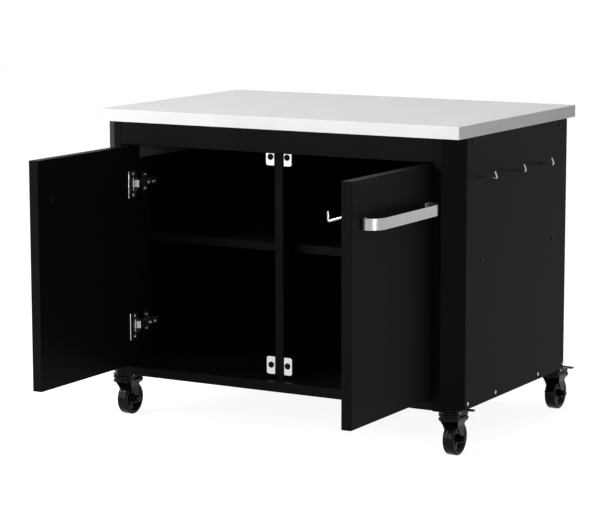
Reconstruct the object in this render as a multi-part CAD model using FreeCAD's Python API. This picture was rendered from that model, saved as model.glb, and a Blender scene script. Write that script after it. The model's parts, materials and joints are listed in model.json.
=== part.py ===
import FreeCAD, Part
import math
import os

# Grill cart with storage: a cabinet of folded sheet under a worktop, with two doors on
# concealed hinges, a shelf in each bay and four swivel casters with brakes.
# Millimetres. X to the right, Y to the back, Z up. The origin is the centre of the
# worktop's top face. The doors stand open at a right angle, as they rest.

# How far a cutting piece runs past the faces it cuts
cutter_over = 1.0

# Worktop
worktop_width = 914.0
worktop_depth = 610.0
worktop_height = 27.0
worktop_sheet = 1.2
worktop_return = 14.0
worktop_corner = 3.0
worktop_overhang = 2.5

# Cabinet body
body_height = 585.0
body_sheet = 1.2
fold_radius = 0.8
corner_setback = 40.0
stile_width = 18.5
stile_lip = 8.0
front_rail_height = 52.0
front_rail_depth = 28.0
front_rail_lip = 10.0
floor_edge_height = 22.5
floor_edge_return = 12.0
body_bottom_gap = 1.0
back_flange = 15.0
back_panel_gap = 2.5
back_flange_gap = 1.0
partition_thickness = 22.0
partition_setback = 31.5
partition_fold = 2.0
shelf_thickness = 18.4
shelf_depth = 450.0
shelf_setback = 76.5
shelf_top_drop = 288.8
shelf_post_gap = 1.0

# Zinc rails under the worktop and hinge posts below them
side_rail_reach = 68.3
side_rail_height = 88.0
side_rail_tab = 27.0
side_rail_foot = 28.0
hinge_post_depth = 60.0
hinge_post_foot = 15.0
post_behind_corner = 1.5

# Base channels that carry the casters
base_channel_width = 66.0
base_channel_sheet = 2.0
base_channel_end_gap = 0.5

# Doors, measured on the left one: along it from the hinge end, through it from its face
door_thickness = 23.0
door_sheet = 1.0
door_edge_radius = 1.2
door_pan_depth = 11.0
door_side_gap = 2.5
door_top_gap = 2.5
door_bottom_gap = 3.5
door_face_setback = 6.5
door_meeting_gap = 3.0

# Concealed hinges
pivot_from_end = 15.15
pivot_from_face = 15.15
hinge_end_distance = 88.5
cup_radius = 17.4
cup_depth = 13.2
cup_wall = 1.0
cup_from_end = 22.5
cup_hole_gap = 0.1
cup_flange_height = 62.0
cup_flange_start = 17.5
cup_flange_end = 48.0
cup_flange_thickness = 1.6
cup_flange_rim = 2.4
cup_flange_corner = 8.0
cup_rim_width = 3.4
cup_rim_corner = 0.8
cup_screw_spacing = 48.0
cup_screw_from_end = 28.0
hinge_pin_radius = 2.0
hinge_pin_fit = 0.05
arm_width = 16.0
arm_sheet = 1.8
arm_eye_radius = 3.6
arm_neck_slope = 0.54
arm_bend = 1.0
arm_standoff = 18.5
arm_length = 62.0
arm_lip = 4.5
arm_cheek_start = -1.0
arm_cheek_gap = 2.5
arm_cheek_slope = 6.0
arm_cheek_corner = 3.0
plate_sheet = 2.0
plate_start = 4.0
plate_length = 50.0
plate_bar_height = 17.0
plate_wing_width = 17.0
plate_wing_height = 46.0
plate_wing_from_post = 34.0
plate_corner = 3.0
plate_wing_corner = 5.0
boss_gap = 0.4
boss_before = 7.0
boss_after = 6.0
boss_corner = 2.0
plate_screw_spacing = 32.0
arm_screw_first = 25.0
arm_screw_second = 45.0

# Pull handles
handle_from_hinge_end = 58.0
handle_height = 24.0
handle_thickness = 3.0
handle_reach = 38.0
handle_from_free_end = 40.0
handle_top_drop = 77.5
handle_foot = 18.0
handle_plate_margin = 1.0
handle_plate_thickness = 1.0
handle_plate_corner = 2.0
handle_screw_end_gap = 0.3

# Magnetic catches beside the partition
catch_width = 21.3
catch_height = 39.5
catch_leg = 25.0
catch_sheet = 1.5
catch_corner = 5.0
upper_catch_below_rail = 10.8
lower_catch_above_floor = 30.7
magnet_radius = 6.3
magnet_length = 10.0
magnet_proud = 1.5

# Hooks
hook_wire_radius = 2.5
hook_reach = 37.0
hook_tip_height = 12.0
hook_tip_lean = 4.7
hook_bend = 4.0
hook_stud_length = 8.0
hook_nut_across = 8.0
hook_nut_height = 4.0
hook_below_rail = 2.0
hook_first = 117.0
hook_spacing = 148.8
hook_count = 3
door_hook_from_free_end = 16.0
door_hook_fall = 12.0
door_hook_tip_height = 18.0
door_hook_tip_lean = 3.0
door_hook_below_top = 72.2

# Fasteners: rows of dome screws. The insets are from the worktop's front and back edges.
screw_head_radius = 4.2
screw_head_height = 2.0
screw_head_side = 0.7
screw_crown_radius = 2.6
screw_radius = 2.0
screw_length = 9.0
screw_hole_gap = 0.3
top_screw_front_insets = (75.0,)
top_screw_back_insets = (84.0,)
top_screw_below_rail_top = 13.0
shelf_screw_inset = 38.5
shelf_screw_below_top = 7.2
bottom_screw_front_insets = (56.0, 195.0)
bottom_screw_back_insets = (188.0, 48.0)
back_screw_end = 45.0
back_screw_count = 4
worktop_screw_inset = 110.0
worktop_screw_length = 14.0

# Casters
caster_inset = 36.0
caster_height = 105.0
caster_trail = 27.5
wheel_radius = 37.5
wheel_width = 25.0
wheel_shoulder = 4.0
wheel_rim_radius = 27.0
wheel_web_thickness = 13.0
hub_radius = 9.5
hub_width = 31.0
wheel_pocket_radius = 5.0
wheel_pocket_circle = 18.2
wheel_pocket_count = 5
wheel_pocket_floor = 3.0
wheel_rim_slope = 1.5
axle_radius = 4.0
axle_fit = 0.05
axle_head_radius = 7.0
axle_head_height = 8.0
axle_head_side = 5.5
axle_head_crown = 4.6
axle_end_proud = 1.5
axle_nut_across = 12.5
axle_nut_height = 6.5
stem_radius = 6.0
stem_length = 22.0
stem_nut_across = 19.0
stem_nut_height = 8.0
mount_neck_radius = 14.0
mount_neck_height = 4.5
race_radius = 23.5
race_top_thickness = 2.5
race_height = 8.5
race_lip = 1.0
race_waist = 2.0
race_bead_height = 3.5
race_rim_wall = 4.5
race_gap = 1.2
kingpin_flare = 3.0
kingpin_flare_height = 2.0
kingpin_head_chamfer = 1.5
kingpin_radius = 5.0
kingpin_fit = 0.05
kingpin_head_radius = 8.0
kingpin_head_height = 2.5
kingpin_head_gap = 0.4
crown_race_radius = 20.5
crown_race_height = 4.0
crown_race_chamfer = 1.2
crown_thickness = 2.2
crown_edge_height = 4.4
crown_edge_chamfer = 0.8
crown_lap = 8.0
fork_leg_inset = 0.5
fork_inner_width = 32.4
fork_shoulder_drop = 5.0
fork_slope_end = 20.0
fork_ear_back = 48.0
fork_ear_height = 11.6
fork_ear_corner = 5.6
fork_leg_front = -4.0
fork_leg_front_rise = 10.0
fork_leg_front_corner = 5.0
fork_leg_front_bend = 20.0
fork_leg_back = 36.0
fork_leg_back_rise = 6.0
fork_leg_back_corner = 3.0
fork_leg_back_bend = 8.0
fork_boss_radius = 9.5
boss_share = 0.99
fork_bend = 1.5
fork_slot_gap = 1.5
fork_slot_depth = 5.0
brake_pin_radius = 2.0
brake_pin_fit = 0.05
brake_pin_back = 42.0
brake_pin_drop = 5.8
brake_pin_proud = 0.8
pedal_above_crown = 8.7
pedal_slope = 4.0
pedal_thickness = 2.4
pedal_start_gap = 2.0
pedal_length = 77.0
pedal_root_half = 17.5
pedal_tip_half = 27.5
pedal_tip_corner = 5.0
pedal_root_corner = 3.0
pedal_waist_corner = 10.0
pedal_edge_corner = 2.0
pedal_waist_flare = 1.0
pedal_lip = 3.0
pedal_lip_inset = 1.0
pedal_lip_corner = 0.8
pedal_cheek_thickness = 2.0
pedal_cheek_half = 18.0
pedal_cheek_width = 13.0
pedal_cheek_corner = 6.2
pedal_cheek_reach = 8.0
pedal_cheek_sink = 1.0
pedal_cheek_fall = 1.5
shoe_half_width = 15.0
shoe_gap = 0.5
shoe_ahead = 14.0
shoe_behind = 16.0
shoe_fall = 1.6
shoe_root = 115.0
shoe_corner = 0.8
shoe_rest_angle = 12.0
sleeve_radius = 5.2
sleeve_side = 0.5

# Derived planes of the cabinet
body_left = -worktop_width / 2 + worktop_overhang
body_front = -worktop_depth / 2 + worktop_overhang
body_back = -body_front
body_top = -worktop_height
body_bottom = body_top - body_height
side_inside = body_left + body_sheet
jamb = body_left + corner_setback + stile_width
floor_bottom = body_bottom + body_bottom_gap
floor_top = floor_bottom + floor_edge_height
back_inside = body_back - 2 * body_sheet
post_front = body_front + corner_setback + post_behind_corner
post_back = post_front + hinge_post_depth
post_face = side_inside + side_rail_reach
rail_bottom = body_top - side_rail_height
partition_front = body_front + partition_setback
shelf_front = body_front + shelf_setback
shelf_back = shelf_front + shelf_depth
shelf_top = -shelf_top_drop
shelf_bottom = shelf_top - shelf_thickness
front_rail_bottom = body_top - front_rail_height
front_edge = -worktop_depth / 2
back_panel_half = -(body_left + corner_setback) - back_panel_gap
# The inner face of the left front chamfer is where x + y equals this.
chamfer_inside = body_left + corner_setback + body_front + body_sheet * math.sqrt(2)

# Derived places of the left door, open at a right angle
door_outer_x = jamb + door_side_gap
door_inner_x = door_outer_x + door_thickness
door_width = -door_meeting_gap / 2 - door_outer_x
door_top = front_rail_bottom - door_top_gap
door_bottom = floor_top + door_bottom_gap
pivot_x = door_outer_x + pivot_from_end
pivot_y = body_front + door_face_setback + pivot_from_face
door_end_y = pivot_y + pivot_from_end
hinge_heights = (door_top - hinge_end_distance, door_bottom + hinge_end_distance)
handle_top = door_top - handle_top_drop
handle_bottom = handle_top - handle_height
handle_middle = (handle_top + handle_bottom) / 2

# Derived levels of the casters
ground = body_bottom - caster_height
axle_height = ground + wheel_radius
race_top = body_bottom - mount_neck_height
race_bottom = race_top - race_height
caster_x = -worktop_width / 2 + caster_inset
caster_rows = (front_edge + caster_inset, -front_edge - caster_inset)
crown_top = race_bottom - race_gap
crown_plate_top = crown_top - crown_race_height
crown_plate_bottom = crown_plate_top - crown_thickness


def vector(x, y, z):
    return FreeCAD.Vector(x, y, z)


def place(a, b, level, normal):
    # A point of a plane square to one axis: (y, z) for x, (x, z) for y, (x, y) for z.
    if normal == "x":
        return vector(level, a, b)
    if normal == "y":
        return vector(a, level, b)
    return vector(a, b, level)


def rounded_loop(points, radii):
    # A closed wire through the corners, each cut by a tangent arc where its radius isn't zero.
    cuts = []
    for index, corner in enumerate(points):
        before = (points[index - 1] - corner).normalize()
        after = (points[(index + 1) % len(points)] - corner).normalize()
        radius = radii[index]
        if radius <= 0:
            cuts.append((corner, corner, corner))
            continue
        half = math.acos(max(-1.0, min(1.0, before.dot(after)))) / 2
        reach = radius / math.tan(half)
        inward = (before + after).normalize()
        middle = corner + inward * (radius / math.sin(half) - radius)
        cuts.append((corner + before * reach, middle, corner + after * reach))
    edges = []
    for index, (start, middle, end) in enumerate(cuts):
        if (end - start).Length > 1e-6:
            edges.append(Part.Arc(start, middle, end).toShape())
        following = cuts[(index + 1) % len(cuts)][0]
        if (following - end).Length > 1e-6:
            edges.append(Part.LineSegment(end, following).toShape())
    return Part.Wire(edges)


def extruded(outline, radii, normal, start, end, holes=()):
    # A flat outline with rounded corners, carried along one axis from start to end.
    if not isinstance(radii, (list, tuple)):
        radii = [radii] * len(outline)
    corners = [place(a, b, start, normal) for a, b in outline]
    wires = [rounded_loop(corners, radii)]
    for hole, hole_radius in holes:
        hole_corners = [place(a, b, start, normal) for a, b in hole]
        wires.append(rounded_loop(hole_corners, [hole_radius] * len(hole)))
    face = Part.Face(wires[0])
    for wire in wires[1:]:
        face = face.cut(Part.Face(wire))
    return face.extrude(place(0, 0, end - start, normal))


def shifted(points, thickness):
    # The open line moved to its left by the thickness, its corners kept sharp.
    normals = []
    for (ax, ay), (bx, by) in zip(points, points[1:]):
        length = math.hypot(bx - ax, by - ay)
        normals.append((-(by - ay) / length, (bx - ax) / length))
    moved = []
    for index, (x, y) in enumerate(points):
        first = normals[max(index - 1, 0)]
        second = normals[min(index, len(normals) - 1)]
        scale = thickness / (1 + first[0] * second[0] + first[1] * second[1])
        moved.append((x + (first[0] + second[0]) * scale, y + (first[1] + second[1]) * scale))
    return moved


def folded(points, thickness, normal, start, end, bend=fold_radius):
    # A bent sheet: the line is one face of it, and the sheet lies to the line's left.
    other = shifted(points, thickness)
    near_radii = [0.0]
    far_radii = [0.0]
    for index in range(1, len(points) - 1):
        (ax, ay), (bx, by), (cx, cy) = points[index - 1:index + 2]
        turn = (bx - ax) * (cy - by) - (by - ay) * (cx - bx)
        near_radii.append(bend if turn < 0 else bend + thickness)
        far_radii.append(bend + thickness if turn < 0 else bend)
    near_radii.append(0.0)
    far_radii.append(0.0)
    outline = points + other[::-1]
    return extruded(outline, near_radii + far_radii[::-1], normal, start, end)


def block(x0, x1, y0, y1, z0, z1):
    corner = vector(min(x0, x1), min(y0, y1), min(z0, z1))
    return Part.makeBox(abs(x1 - x0), abs(y1 - y0), abs(z1 - z0), corner)


def rod(start, end, radius):
    return Part.makeCylinder(radius, (end - start).Length, start, end - start)


def turned(profile, centre, direction):
    # A closed profile of (radius, distance along the axis), turned about the axis.
    wire = Part.makePolygon([vector(r, 0, h) for r, h in profile + profile[:1]])
    solid = Part.Face(wire).revolve(vector(0, 0, 0), vector(0, 0, 1), 360)
    turn = FreeCAD.Rotation(vector(0, 0, 1), direction)
    solid.Placement = FreeCAD.Placement(centre, turn)
    return solid


def ring_of_corners(across, count):
    # The corners of a regular polygon that is this wide across its flats.
    radius = across / 2 / math.cos(math.pi / count)
    return [(radius * math.cos(2 * math.pi * i / count), radius * math.sin(2 * math.pi * i / count))
            for i in range(count)]


def mirrored(shape):
    return shape.mirror(vector(0, 0, 0), vector(1, 0, 0))


def opened(shape, side, thickness):
    # The solid hollowed to a wall of one thickness, open at its outermost faces on each side.
    faces = []
    for face in shape.Faces:
        normal = face.normalAt(0, 0)
        for direction in side:
            limit = max(direction.dot(corner.Point) for corner in shape.Vertexes)
            flat = normal.dot(direction) > 0.999
            if flat and abs(direction.dot(face.CenterOfMass) - limit) < 1e-6:
                faces.append(face)
    return shape.makeThickness(faces, -thickness, 1e-3)


def dome_screw(seat, outward, length=screw_length):
    # Head on the seat, domed outwards, with its shank going in.
    profile = [(0, screw_head_height), (screw_crown_radius, screw_head_height),
               (screw_head_radius, screw_head_side), (screw_head_radius, 0), (screw_radius, 0),
               (screw_radius, -length), (0, -length)]
    return turned(profile, seat, outward)


def drilled(shape, seats, outward, radius, depth=2 * screw_head_height):
    for seat in seats:
        shape = shape.cut(rod(seat + outward * depth, seat - outward * depth, radius))
    return shape


# Worktop


def worktop():
    half_x = worktop_width / 2
    half_y = worktop_depth / 2
    tray = block(-half_x, half_x, -half_y, half_y, 0, -worktop_height)
    upright = [e for e in tray.Edges if abs(e.tangentAt(e.FirstParameter).z) > 0.99]
    tray = tray.makeFillet(worktop_corner, upright)
    rim = [e for e in tray.Edges if e.BoundBox.ZMin > -1e-6]
    tray = tray.makeFillet(worktop_sheet, rim)
    tray = tray.cut(worktop_board())
    inset = worktop_sheet + worktop_return
    mouth = block(-half_x + inset, half_x - inset, -half_y + inset, half_y - inset,
                  -worktop_height - cutter_over, -worktop_height + worktop_sheet + cutter_over)
    return tray.cut(mouth)


def worktop_board():
    # The board fills the tray between its top sheet and its return edge.
    inset_x = worktop_width / 2 - worktop_sheet
    inset_y = worktop_depth / 2 - worktop_sheet
    outline = [(-inset_x, -inset_y), (inset_x, -inset_y), (inset_x, inset_y), (-inset_x, inset_y)]
    return extruded(outline, worktop_corner - worktop_sheet, "z",
                    -worktop_height + worktop_sheet, -worktop_sheet)


# Cabinet


def side_outline():
    # The side panel in plan, from the front stile's lip to the rear flange.
    corner_x = body_left + corner_setback
    corner_y = body_front + corner_setback
    return [(jamb, body_back), (corner_x, body_back), (body_left, -corner_y), (body_left, corner_y),
            (corner_x, body_front), (jamb, body_front), (jamb, body_front + stile_lip)]


def row(front_insets, back_insets):
    # Places along the depth, counted in from the worktop's front and back edges.
    return [front_edge + inset for inset in front_insets] + [-front_edge - inset for inset in back_insets]


def side_screw_seats():
    shelf_rows = (shelf_front + shelf_screw_inset, shelf_back - shelf_screw_inset)
    top_rows = row(top_screw_front_insets, top_screw_back_insets)
    places = [(y, body_top - top_screw_below_rail_top) for y in top_rows]
    places += [(y, shelf_top - shelf_screw_below_top) for y in shelf_rows]
    places += [(y, (floor_top + floor_bottom) / 2)
               for y in row(bottom_screw_front_insets, bottom_screw_back_insets)]
    return [vector(body_left, y, z) for y, z in places]


def back_screw_seats():
    middle = (jamb + body_left + corner_setback) / 2
    step = (body_height - 2 * back_screw_end) / (back_screw_count - 1)
    return [vector(x, body_back, body_top - back_screw_end - step * index)
            for x in (middle, -middle) for index in range(back_screw_count)]


def worktop_screw_seats():
    x = (side_inside + post_face) / 2
    z = body_top - body_sheet
    places = row((worktop_screw_inset,), (worktop_screw_inset,)) + [0]
    return [vector(side * x, y, z) for side in (1, -1) for y in places]


def hook_roots():
    level = rail_bottom - hook_below_rail
    return [vector(-body_left, front_edge + hook_first + hook_spacing * index, level)
            for index in range(hook_count)]


def side_panel(side):
    panel = folded(side_outline(), body_sheet, "z", body_bottom, body_top)
    panel = drilled(panel, side_screw_seats(), vector(-1, 0, 0), screw_radius + screw_hole_gap)
    back_seats = [seat for seat in back_screw_seats() if seat.x < 0]
    panel = drilled(panel, back_seats, vector(0, 1, 0), screw_radius + screw_hole_gap)
    if side > 0:
        panel = mirrored(panel)
        panel = drilled(panel, hook_roots(), vector(1, 0, 0), hook_wire_radius)
    return panel


def back_panel():
    # A shallow tray with its flanges forwards, open at its front and below.
    outer = body_back - body_sheet
    tray = block(-back_panel_half, back_panel_half, outer - back_flange, outer, floor_bottom, body_top)
    tray = opened(tray, (vector(0, -1, 0), vector(0, 0, -1)), body_sheet)
    return drilled(tray, back_screw_seats(), vector(0, 1, 0), screw_radius)


def floor_outline():
    # The left half of the floor in plan, inside the side panel and around the stile's lip.
    back_corner = body_back - body_sheet - back_flange - back_flange_gap
    back_flange_x = body_sheet - back_panel_half
    lip_inside = jamb - body_sheet
    lip_end = body_front + stile_lip
    front_inside = body_front + body_sheet
    return [(jamb, body_front), (jamb, lip_end), (lip_inside, lip_end), (lip_inside, front_inside),
            (chamfer_inside - front_inside, front_inside), (side_inside, chamfer_inside - side_inside),
            (side_inside, side_inside - chamfer_inside), (chamfer_inside + back_corner, back_corner),
            (back_flange_x, back_corner), (back_flange_x, back_inside)]


def bottom_panel():
    left = floor_outline()
    whole = left + [(-x, y) for x, y in left[::-1]]
    radii = [0, 0, 0, fold_radius, fold_radius, fold_radius, fold_radius, 0, 0, 0]
    plate = extruded(whole, radii + radii[::-1], "z", floor_top - body_sheet, floor_top)
    lengthwise = folded([(body_front + floor_edge_return, floor_bottom), (body_front, floor_bottom),
                         (body_front, floor_top), (back_inside, floor_top),
                         (back_inside, floor_bottom)][::-1], body_sheet, "x", jamb, -jamb)
    flat_end = chamfer_inside - side_inside + fold_radius
    edge = folded([(post_face, floor_top), (side_inside, floor_top), (side_inside, floor_bottom)],
                  body_sheet, "y", flat_end, -flat_end)
    edge = drilled(edge, side_screw_seats(), vector(-1, 0, 0), screw_radius)
    fold_cut = block(jamb, -jamb, body_front - cutter_over, body_front + fold_radius + body_sheet,
                     floor_top - fold_radius - body_sheet, floor_top + cutter_over)
    plate = plate.cut(fold_cut)
    return plate.fuse([lengthwise, edge, mirrored(edge)]).removeSplitter()


def front_rail():
    back = body_front + front_rail_depth
    low = front_rail_bottom
    line = [(back, body_top), (body_front, body_top), (body_front, low), (back, low),
            (back, low + front_rail_lip)]
    return folded(line, body_sheet, "x", jamb, -jamb)


def side_rail():
    # Open towards the side panel, with a tab down the panel and a foot along the bottom.
    line = [(side_inside + side_rail_foot, rail_bottom), (post_face, rail_bottom),
            (post_face, body_top), (side_inside, body_top), (side_inside, body_top - side_rail_tab)]
    rail = folded(line, body_sheet, "y", post_front, -post_front)
    rail = drilled(rail, side_screw_seats(), vector(-1, 0, 0), screw_radius)
    seats = [seat for seat in worktop_screw_seats() if seat.x < 0]
    return drilled(rail, seats, vector(0, 0, -1), screw_radius + screw_hole_gap)


def hinge_post():
    # A closed hat against the side panel, both feet turned inwards.
    line = [(side_inside, post_front + hinge_post_foot), (side_inside, post_front),
            (post_face, post_front), (post_face, post_back), (side_inside, post_back),
            (side_inside, post_back - hinge_post_foot)]
    post = folded(line, body_sheet, "z", floor_top, rail_bottom)
    for height in hinge_heights:
        seats = [vector(post_face, y, z) for y, z in plate_screw_places(height)]
        post = drilled(post, seats, vector(1, 0, 0), screw_radius)
    return post


def partition():
    # A double skin, closed at the front and back and open above and below.
    half = partition_thickness / 2
    inner = half - body_sheet
    outline = [(-half, partition_front), (half, partition_front), (half, back_inside), (-half, back_inside)]
    hollow = [(-inner, partition_front + body_sheet), (inner, partition_front + body_sheet),
              (inner, back_inside - body_sheet), (-inner, back_inside - body_sheet)]
    return extruded(outline, partition_fold, "z", floor_top, body_top - body_sheet,
                    [(hollow, partition_fold - body_sheet)])


def shelf():
    # A tray with its edges turned down, stepped back around the hinge post.
    step_x = post_face + shelf_post_gap
    step_y = post_back + shelf_post_gap
    outline = [(step_x, shelf_front), (-partition_thickness / 2, shelf_front),
               (-partition_thickness / 2, shelf_back), (side_inside, shelf_back),
               (side_inside, step_y), (step_x, step_y)]
    tray = extruded(outline, 0, "z", shelf_bottom, shelf_top)
    tray = opened(tray, (vector(0, 0, -1),), body_sheet)
    return drilled(tray, side_screw_seats(), vector(-1, 0, 0), screw_radius)


def base_channel():
    # An upward channel under the floor, its corners cut off along the body's corners.
    outer = side_inside + body_sheet
    inner = outer + base_channel_width
    top = floor_top - body_sheet - fold_radius
    line = [(outer, top), (outer, body_bottom), (inner, body_bottom), (inner, top)]
    front = body_front + floor_edge_return + base_channel_end_gap
    back = back_inside - back_flange
    channel = folded(line, base_channel_sheet, "y", front, back)
    room = [(chamfer_inside - front, front), (0, front), (0, back), (chamfer_inside + back, back),
            (outer, outer - chamfer_inside), (outer, chamfer_inside - outer)]
    channel = channel.common(extruded(room, 0, "z", body_bottom, floor_top))
    for y in caster_rows:
        channel = channel.cut(rod(vector(caster_x, y, body_bottom - cutter_over),
                                  vector(caster_x, y, body_bottom + 2 * base_channel_sheet), stem_radius))
    screws = [seat + vector(body_sheet, 0, 0) for seat in side_screw_seats()]
    return drilled(channel, screws, vector(-1, 0, 0), screw_radius)


def catch_heights():
    return (front_rail_bottom - upper_catch_below_rail, floor_top + lower_catch_above_floor)


def catch_plate(height):
    # A bracket right of the partition: one leg on its side, one across the door's corner.
    root = partition_thickness / 2
    low = height - catch_height / 2
    high = height + catch_height / 2
    bracket = folded([(root, partition_front + catch_leg), (root, partition_front),
                      (root + catch_width, partition_front)], catch_sheet, "z", low, high)
    outline = [(root, low), (root + catch_width, low), (root + catch_width, high), (root, high)]
    trim = extruded(outline, [0, catch_corner, catch_corner, 0], "y",
                    partition_front - cutter_over, partition_front + catch_leg + cutter_over)
    centre = vector(root + catch_width / 2, partition_front, height)
    return drilled(bracket.common(trim), [centre], vector(0, 1, 0), magnet_radius)


def catch_magnet(height):
    start = vector(partition_thickness / 2 + catch_width / 2, partition_front - magnet_proud, height)
    return rod(start, start + vector(0, magnet_length, 0), magnet_radius)


# Hinges, all shown for the left door


def plate_screw_places(height):
    y = post_front + plate_wing_from_post
    return [(y, height + side * plate_screw_spacing / 2) for side in (1, -1)]


def hinge_cup(height):
    # The cup is let into the door's inner pan, its flange lies on the pan and the pin spans it.
    centre = vector(door_inner_x, door_end_y - cup_from_end, height)
    inward = vector(-1, 0, 0)
    cup = rod(centre, centre + inward * cup_depth, cup_radius)
    hollow = rod(centre - inward * cup_depth, centre + inward * (cup_depth - cup_wall), cup_radius - cup_wall)
    low = height - cup_flange_height / 2
    high = height + cup_flange_height / 2
    start = door_end_y - cup_flange_start
    end = door_end_y - cup_flange_end
    flange = extruded([(end, low), (start, low), (start, high), (end, high)],
                      [plate_corner, cup_flange_corner, cup_flange_corner, plate_corner], "x",
                      door_inner_x, door_inner_x + cup_flange_thickness)
    rim_end = end + cup_rim_width
    rim = extruded([(end, low), (rim_end, low), (rim_end, high), (end, high)], cup_rim_corner, "x",
                   door_inner_x, door_inner_x + cup_flange_rim)
    collar = rod(centre, centre - inward * cup_flange_thickness, cup_radius)
    cup = cup.fuse([flange, rim, collar]).cut(hollow)
    half_span = math.sqrt(cup_radius ** 2 - (cup_from_end - pivot_from_end) ** 2) - cup_wall / 2
    pin = rod(vector(pivot_x, pivot_y, height - half_span), vector(pivot_x, pivot_y, height + half_span),
              hinge_pin_radius)
    cup = cup.fuse(pin).removeSplitter()
    outward = vector(1, 0, 0)
    seat_x = door_inner_x + cup_flange_thickness
    y = door_end_y - cup_screw_from_end
    screws = [dome_screw(vector(seat_x, y, height + side * cup_screw_spacing / 2), outward)
              for side in (1, -1)]
    return cup.fuse(screws).removeSplitter()


def cup_openings(pan):
    # The holes in the pan for the cups and their screws.
    for height in hinge_heights:
        centre = vector(door_inner_x, door_end_y - cup_from_end, height)
        pan = drilled(pan, [centre], vector(1, 0, 0), cup_radius + cup_hole_gap, door_thickness)
        y = door_end_y - cup_screw_from_end
        screws = [vector(door_inner_x, y, height + side * cup_screw_spacing / 2) for side in (1, -1)]
        pan = drilled(pan, screws, vector(1, 0, 0), screw_radius)
    return pan


def hinge_arm(height):
    # A gooseneck from the eye out of the cup, then a channel along the post, closed at its front.
    low = height - arm_width / 2
    high = height + arm_width / 2
    top_x = post_face + arm_standoff
    rise = top_x - pivot_x
    end_y = post_front + arm_length
    start_y = pivot_y - arm_sheet / 2 * math.hypot(1, arm_neck_slope)
    line = [(pivot_x, start_y), (top_x, start_y + rise * arm_neck_slope), (top_x, end_y)]
    neck = folded(line, arm_sheet, "z", low, high, arm_bend)
    centre = vector(pivot_x, pivot_y, low)
    eye = rod(centre, vector(pivot_x, pivot_y, high), arm_eye_radius)
    cheek = [(top_x - arm_sheet / 2, post_front + arm_cheek_start), (top_x - arm_sheet / 2, end_y),
             (post_face + plate_sheet + arm_cheek_gap, end_y),
             (post_face + plate_sheet + arm_cheek_gap, post_front + arm_cheek_start + arm_cheek_slope)]
    cheeks = [extruded(cheek, [0, 0, arm_cheek_corner, arm_cheek_corner], "z", low, low + arm_sheet),
              extruded(cheek, [0, 0, arm_cheek_corner, arm_cheek_corner], "z", high - arm_sheet, high)]
    lip_y = post_front + arm_cheek_start
    lip = block(top_x - arm_lip, top_x, lip_y, lip_y + arm_sheet, low, high)
    arm = neck.fuse([eye, lip] + cheeks).removeSplitter()
    bore = rod(centre, vector(pivot_x, pivot_y, high), hinge_pin_radius + hinge_pin_fit)
    for y in (arm_screw_first, arm_screw_second):
        seat = vector(top_x, post_front + y, height)
        arm = drilled(arm, [seat], vector(1, 0, 0), screw_radius)
    return arm.cut(bore)


def hinge_plate(height):
    # A bar with two wings on the post and a boss under the arm.
    start = post_front + plate_start
    end = start + plate_length
    bar_low = height - plate_bar_height / 2
    bar_high = height + plate_bar_height / 2
    face = post_face + plate_sheet
    bar = extruded([(start, bar_low), (end, bar_low), (end, bar_high), (start, bar_high)],
                   plate_corner, "x",
                   post_face, face)
    wing_y = post_front + plate_wing_from_post
    wing_low = height - plate_wing_height / 2
    wing_high = height + plate_wing_height / 2
    wing_start = wing_y - plate_wing_width / 2
    wing_end = wing_y + plate_wing_width / 2
    wings = extruded([(wing_start, wing_low), (wing_end, wing_low), (wing_end, wing_high),
                      (wing_start, wing_high)], plate_wing_corner, "x", post_face, face)
    boss_half = arm_width / 2 - arm_sheet - boss_gap
    boss_top = post_face + arm_standoff - arm_sheet
    first = post_front + arm_screw_first - boss_before
    second = post_front + arm_screw_second + boss_after
    boss = extruded([(first, height - boss_half), (second, height - boss_half),
                     (second, height + boss_half), (first, height + boss_half)], boss_corner, "x",
                    post_face, boss_top)
    plate = bar.fuse([wings, boss]).removeSplitter()
    arm_screws = [vector(boss_top, post_front + y, height) for y in (arm_screw_first, arm_screw_second)]
    plate = drilled(plate, arm_screws, vector(1, 0, 0), screw_radius, screw_length)
    seats = [vector(face, y, z) for y, z in plate_screw_places(height)]
    return drilled(plate, seats, vector(1, 0, 0), screw_radius)


def hinge_screws(height):
    outward = vector(1, 0, 0)
    face = post_face + plate_sheet
    top_x = post_face + arm_standoff
    screws = [dome_screw(vector(face, y, z), outward) for y, z in plate_screw_places(height)]
    screws += [dome_screw(vector(top_x, post_front + y, height), outward)
               for y in (arm_screw_first, arm_screw_second)]
    return screws


# Doors, all shown for the left one


def door_point(along, through, z):
    # From the hinge end along the door, and from its outer face through it.
    return vector(door_outer_x + through, door_end_y - along, z)


def door_skin():
    free_end = door_end_y - door_width
    panel = block(door_outer_x, door_inner_x, free_end, door_end_y, door_bottom, door_top)
    outer = [e for e in panel.Edges if e.BoundBox.XMax < door_outer_x + 1e-6]
    panel = panel.makeFillet(door_edge_radius, outer)
    hollow = block(door_outer_x + door_sheet, door_inner_x + cutter_over, free_end + door_sheet,
                   door_end_y - door_sheet, door_bottom + door_sheet, door_top - door_sheet)
    skin = panel.cut(hollow)
    return drilled(skin, handle_screw_seats(), vector(1, 0, 0), screw_radius, door_thickness * 2)


def door_pan():
    free_end = door_end_y - door_width
    start = door_inner_x - door_pan_depth
    pan = block(start, door_inner_x, free_end + door_sheet, door_end_y - door_sheet,
                door_bottom + door_sheet, door_top - door_sheet)
    pan = opened(pan, (vector(-1, 0, 0),), door_sheet)
    pan = drilled(pan, handle_screw_seats(), vector(1, 0, 0), screw_radius, door_thickness * 2)
    return cup_openings(pan)


def handle_span():
    return handle_from_hinge_end, door_width - handle_from_free_end


def handle_screw_seats():
    near, far = handle_span()
    through = door_thickness + handle_plate_thickness
    return [door_point(along, through, handle_middle)
            for along in (near + handle_foot / 2, far - handle_foot / 2)]


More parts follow.
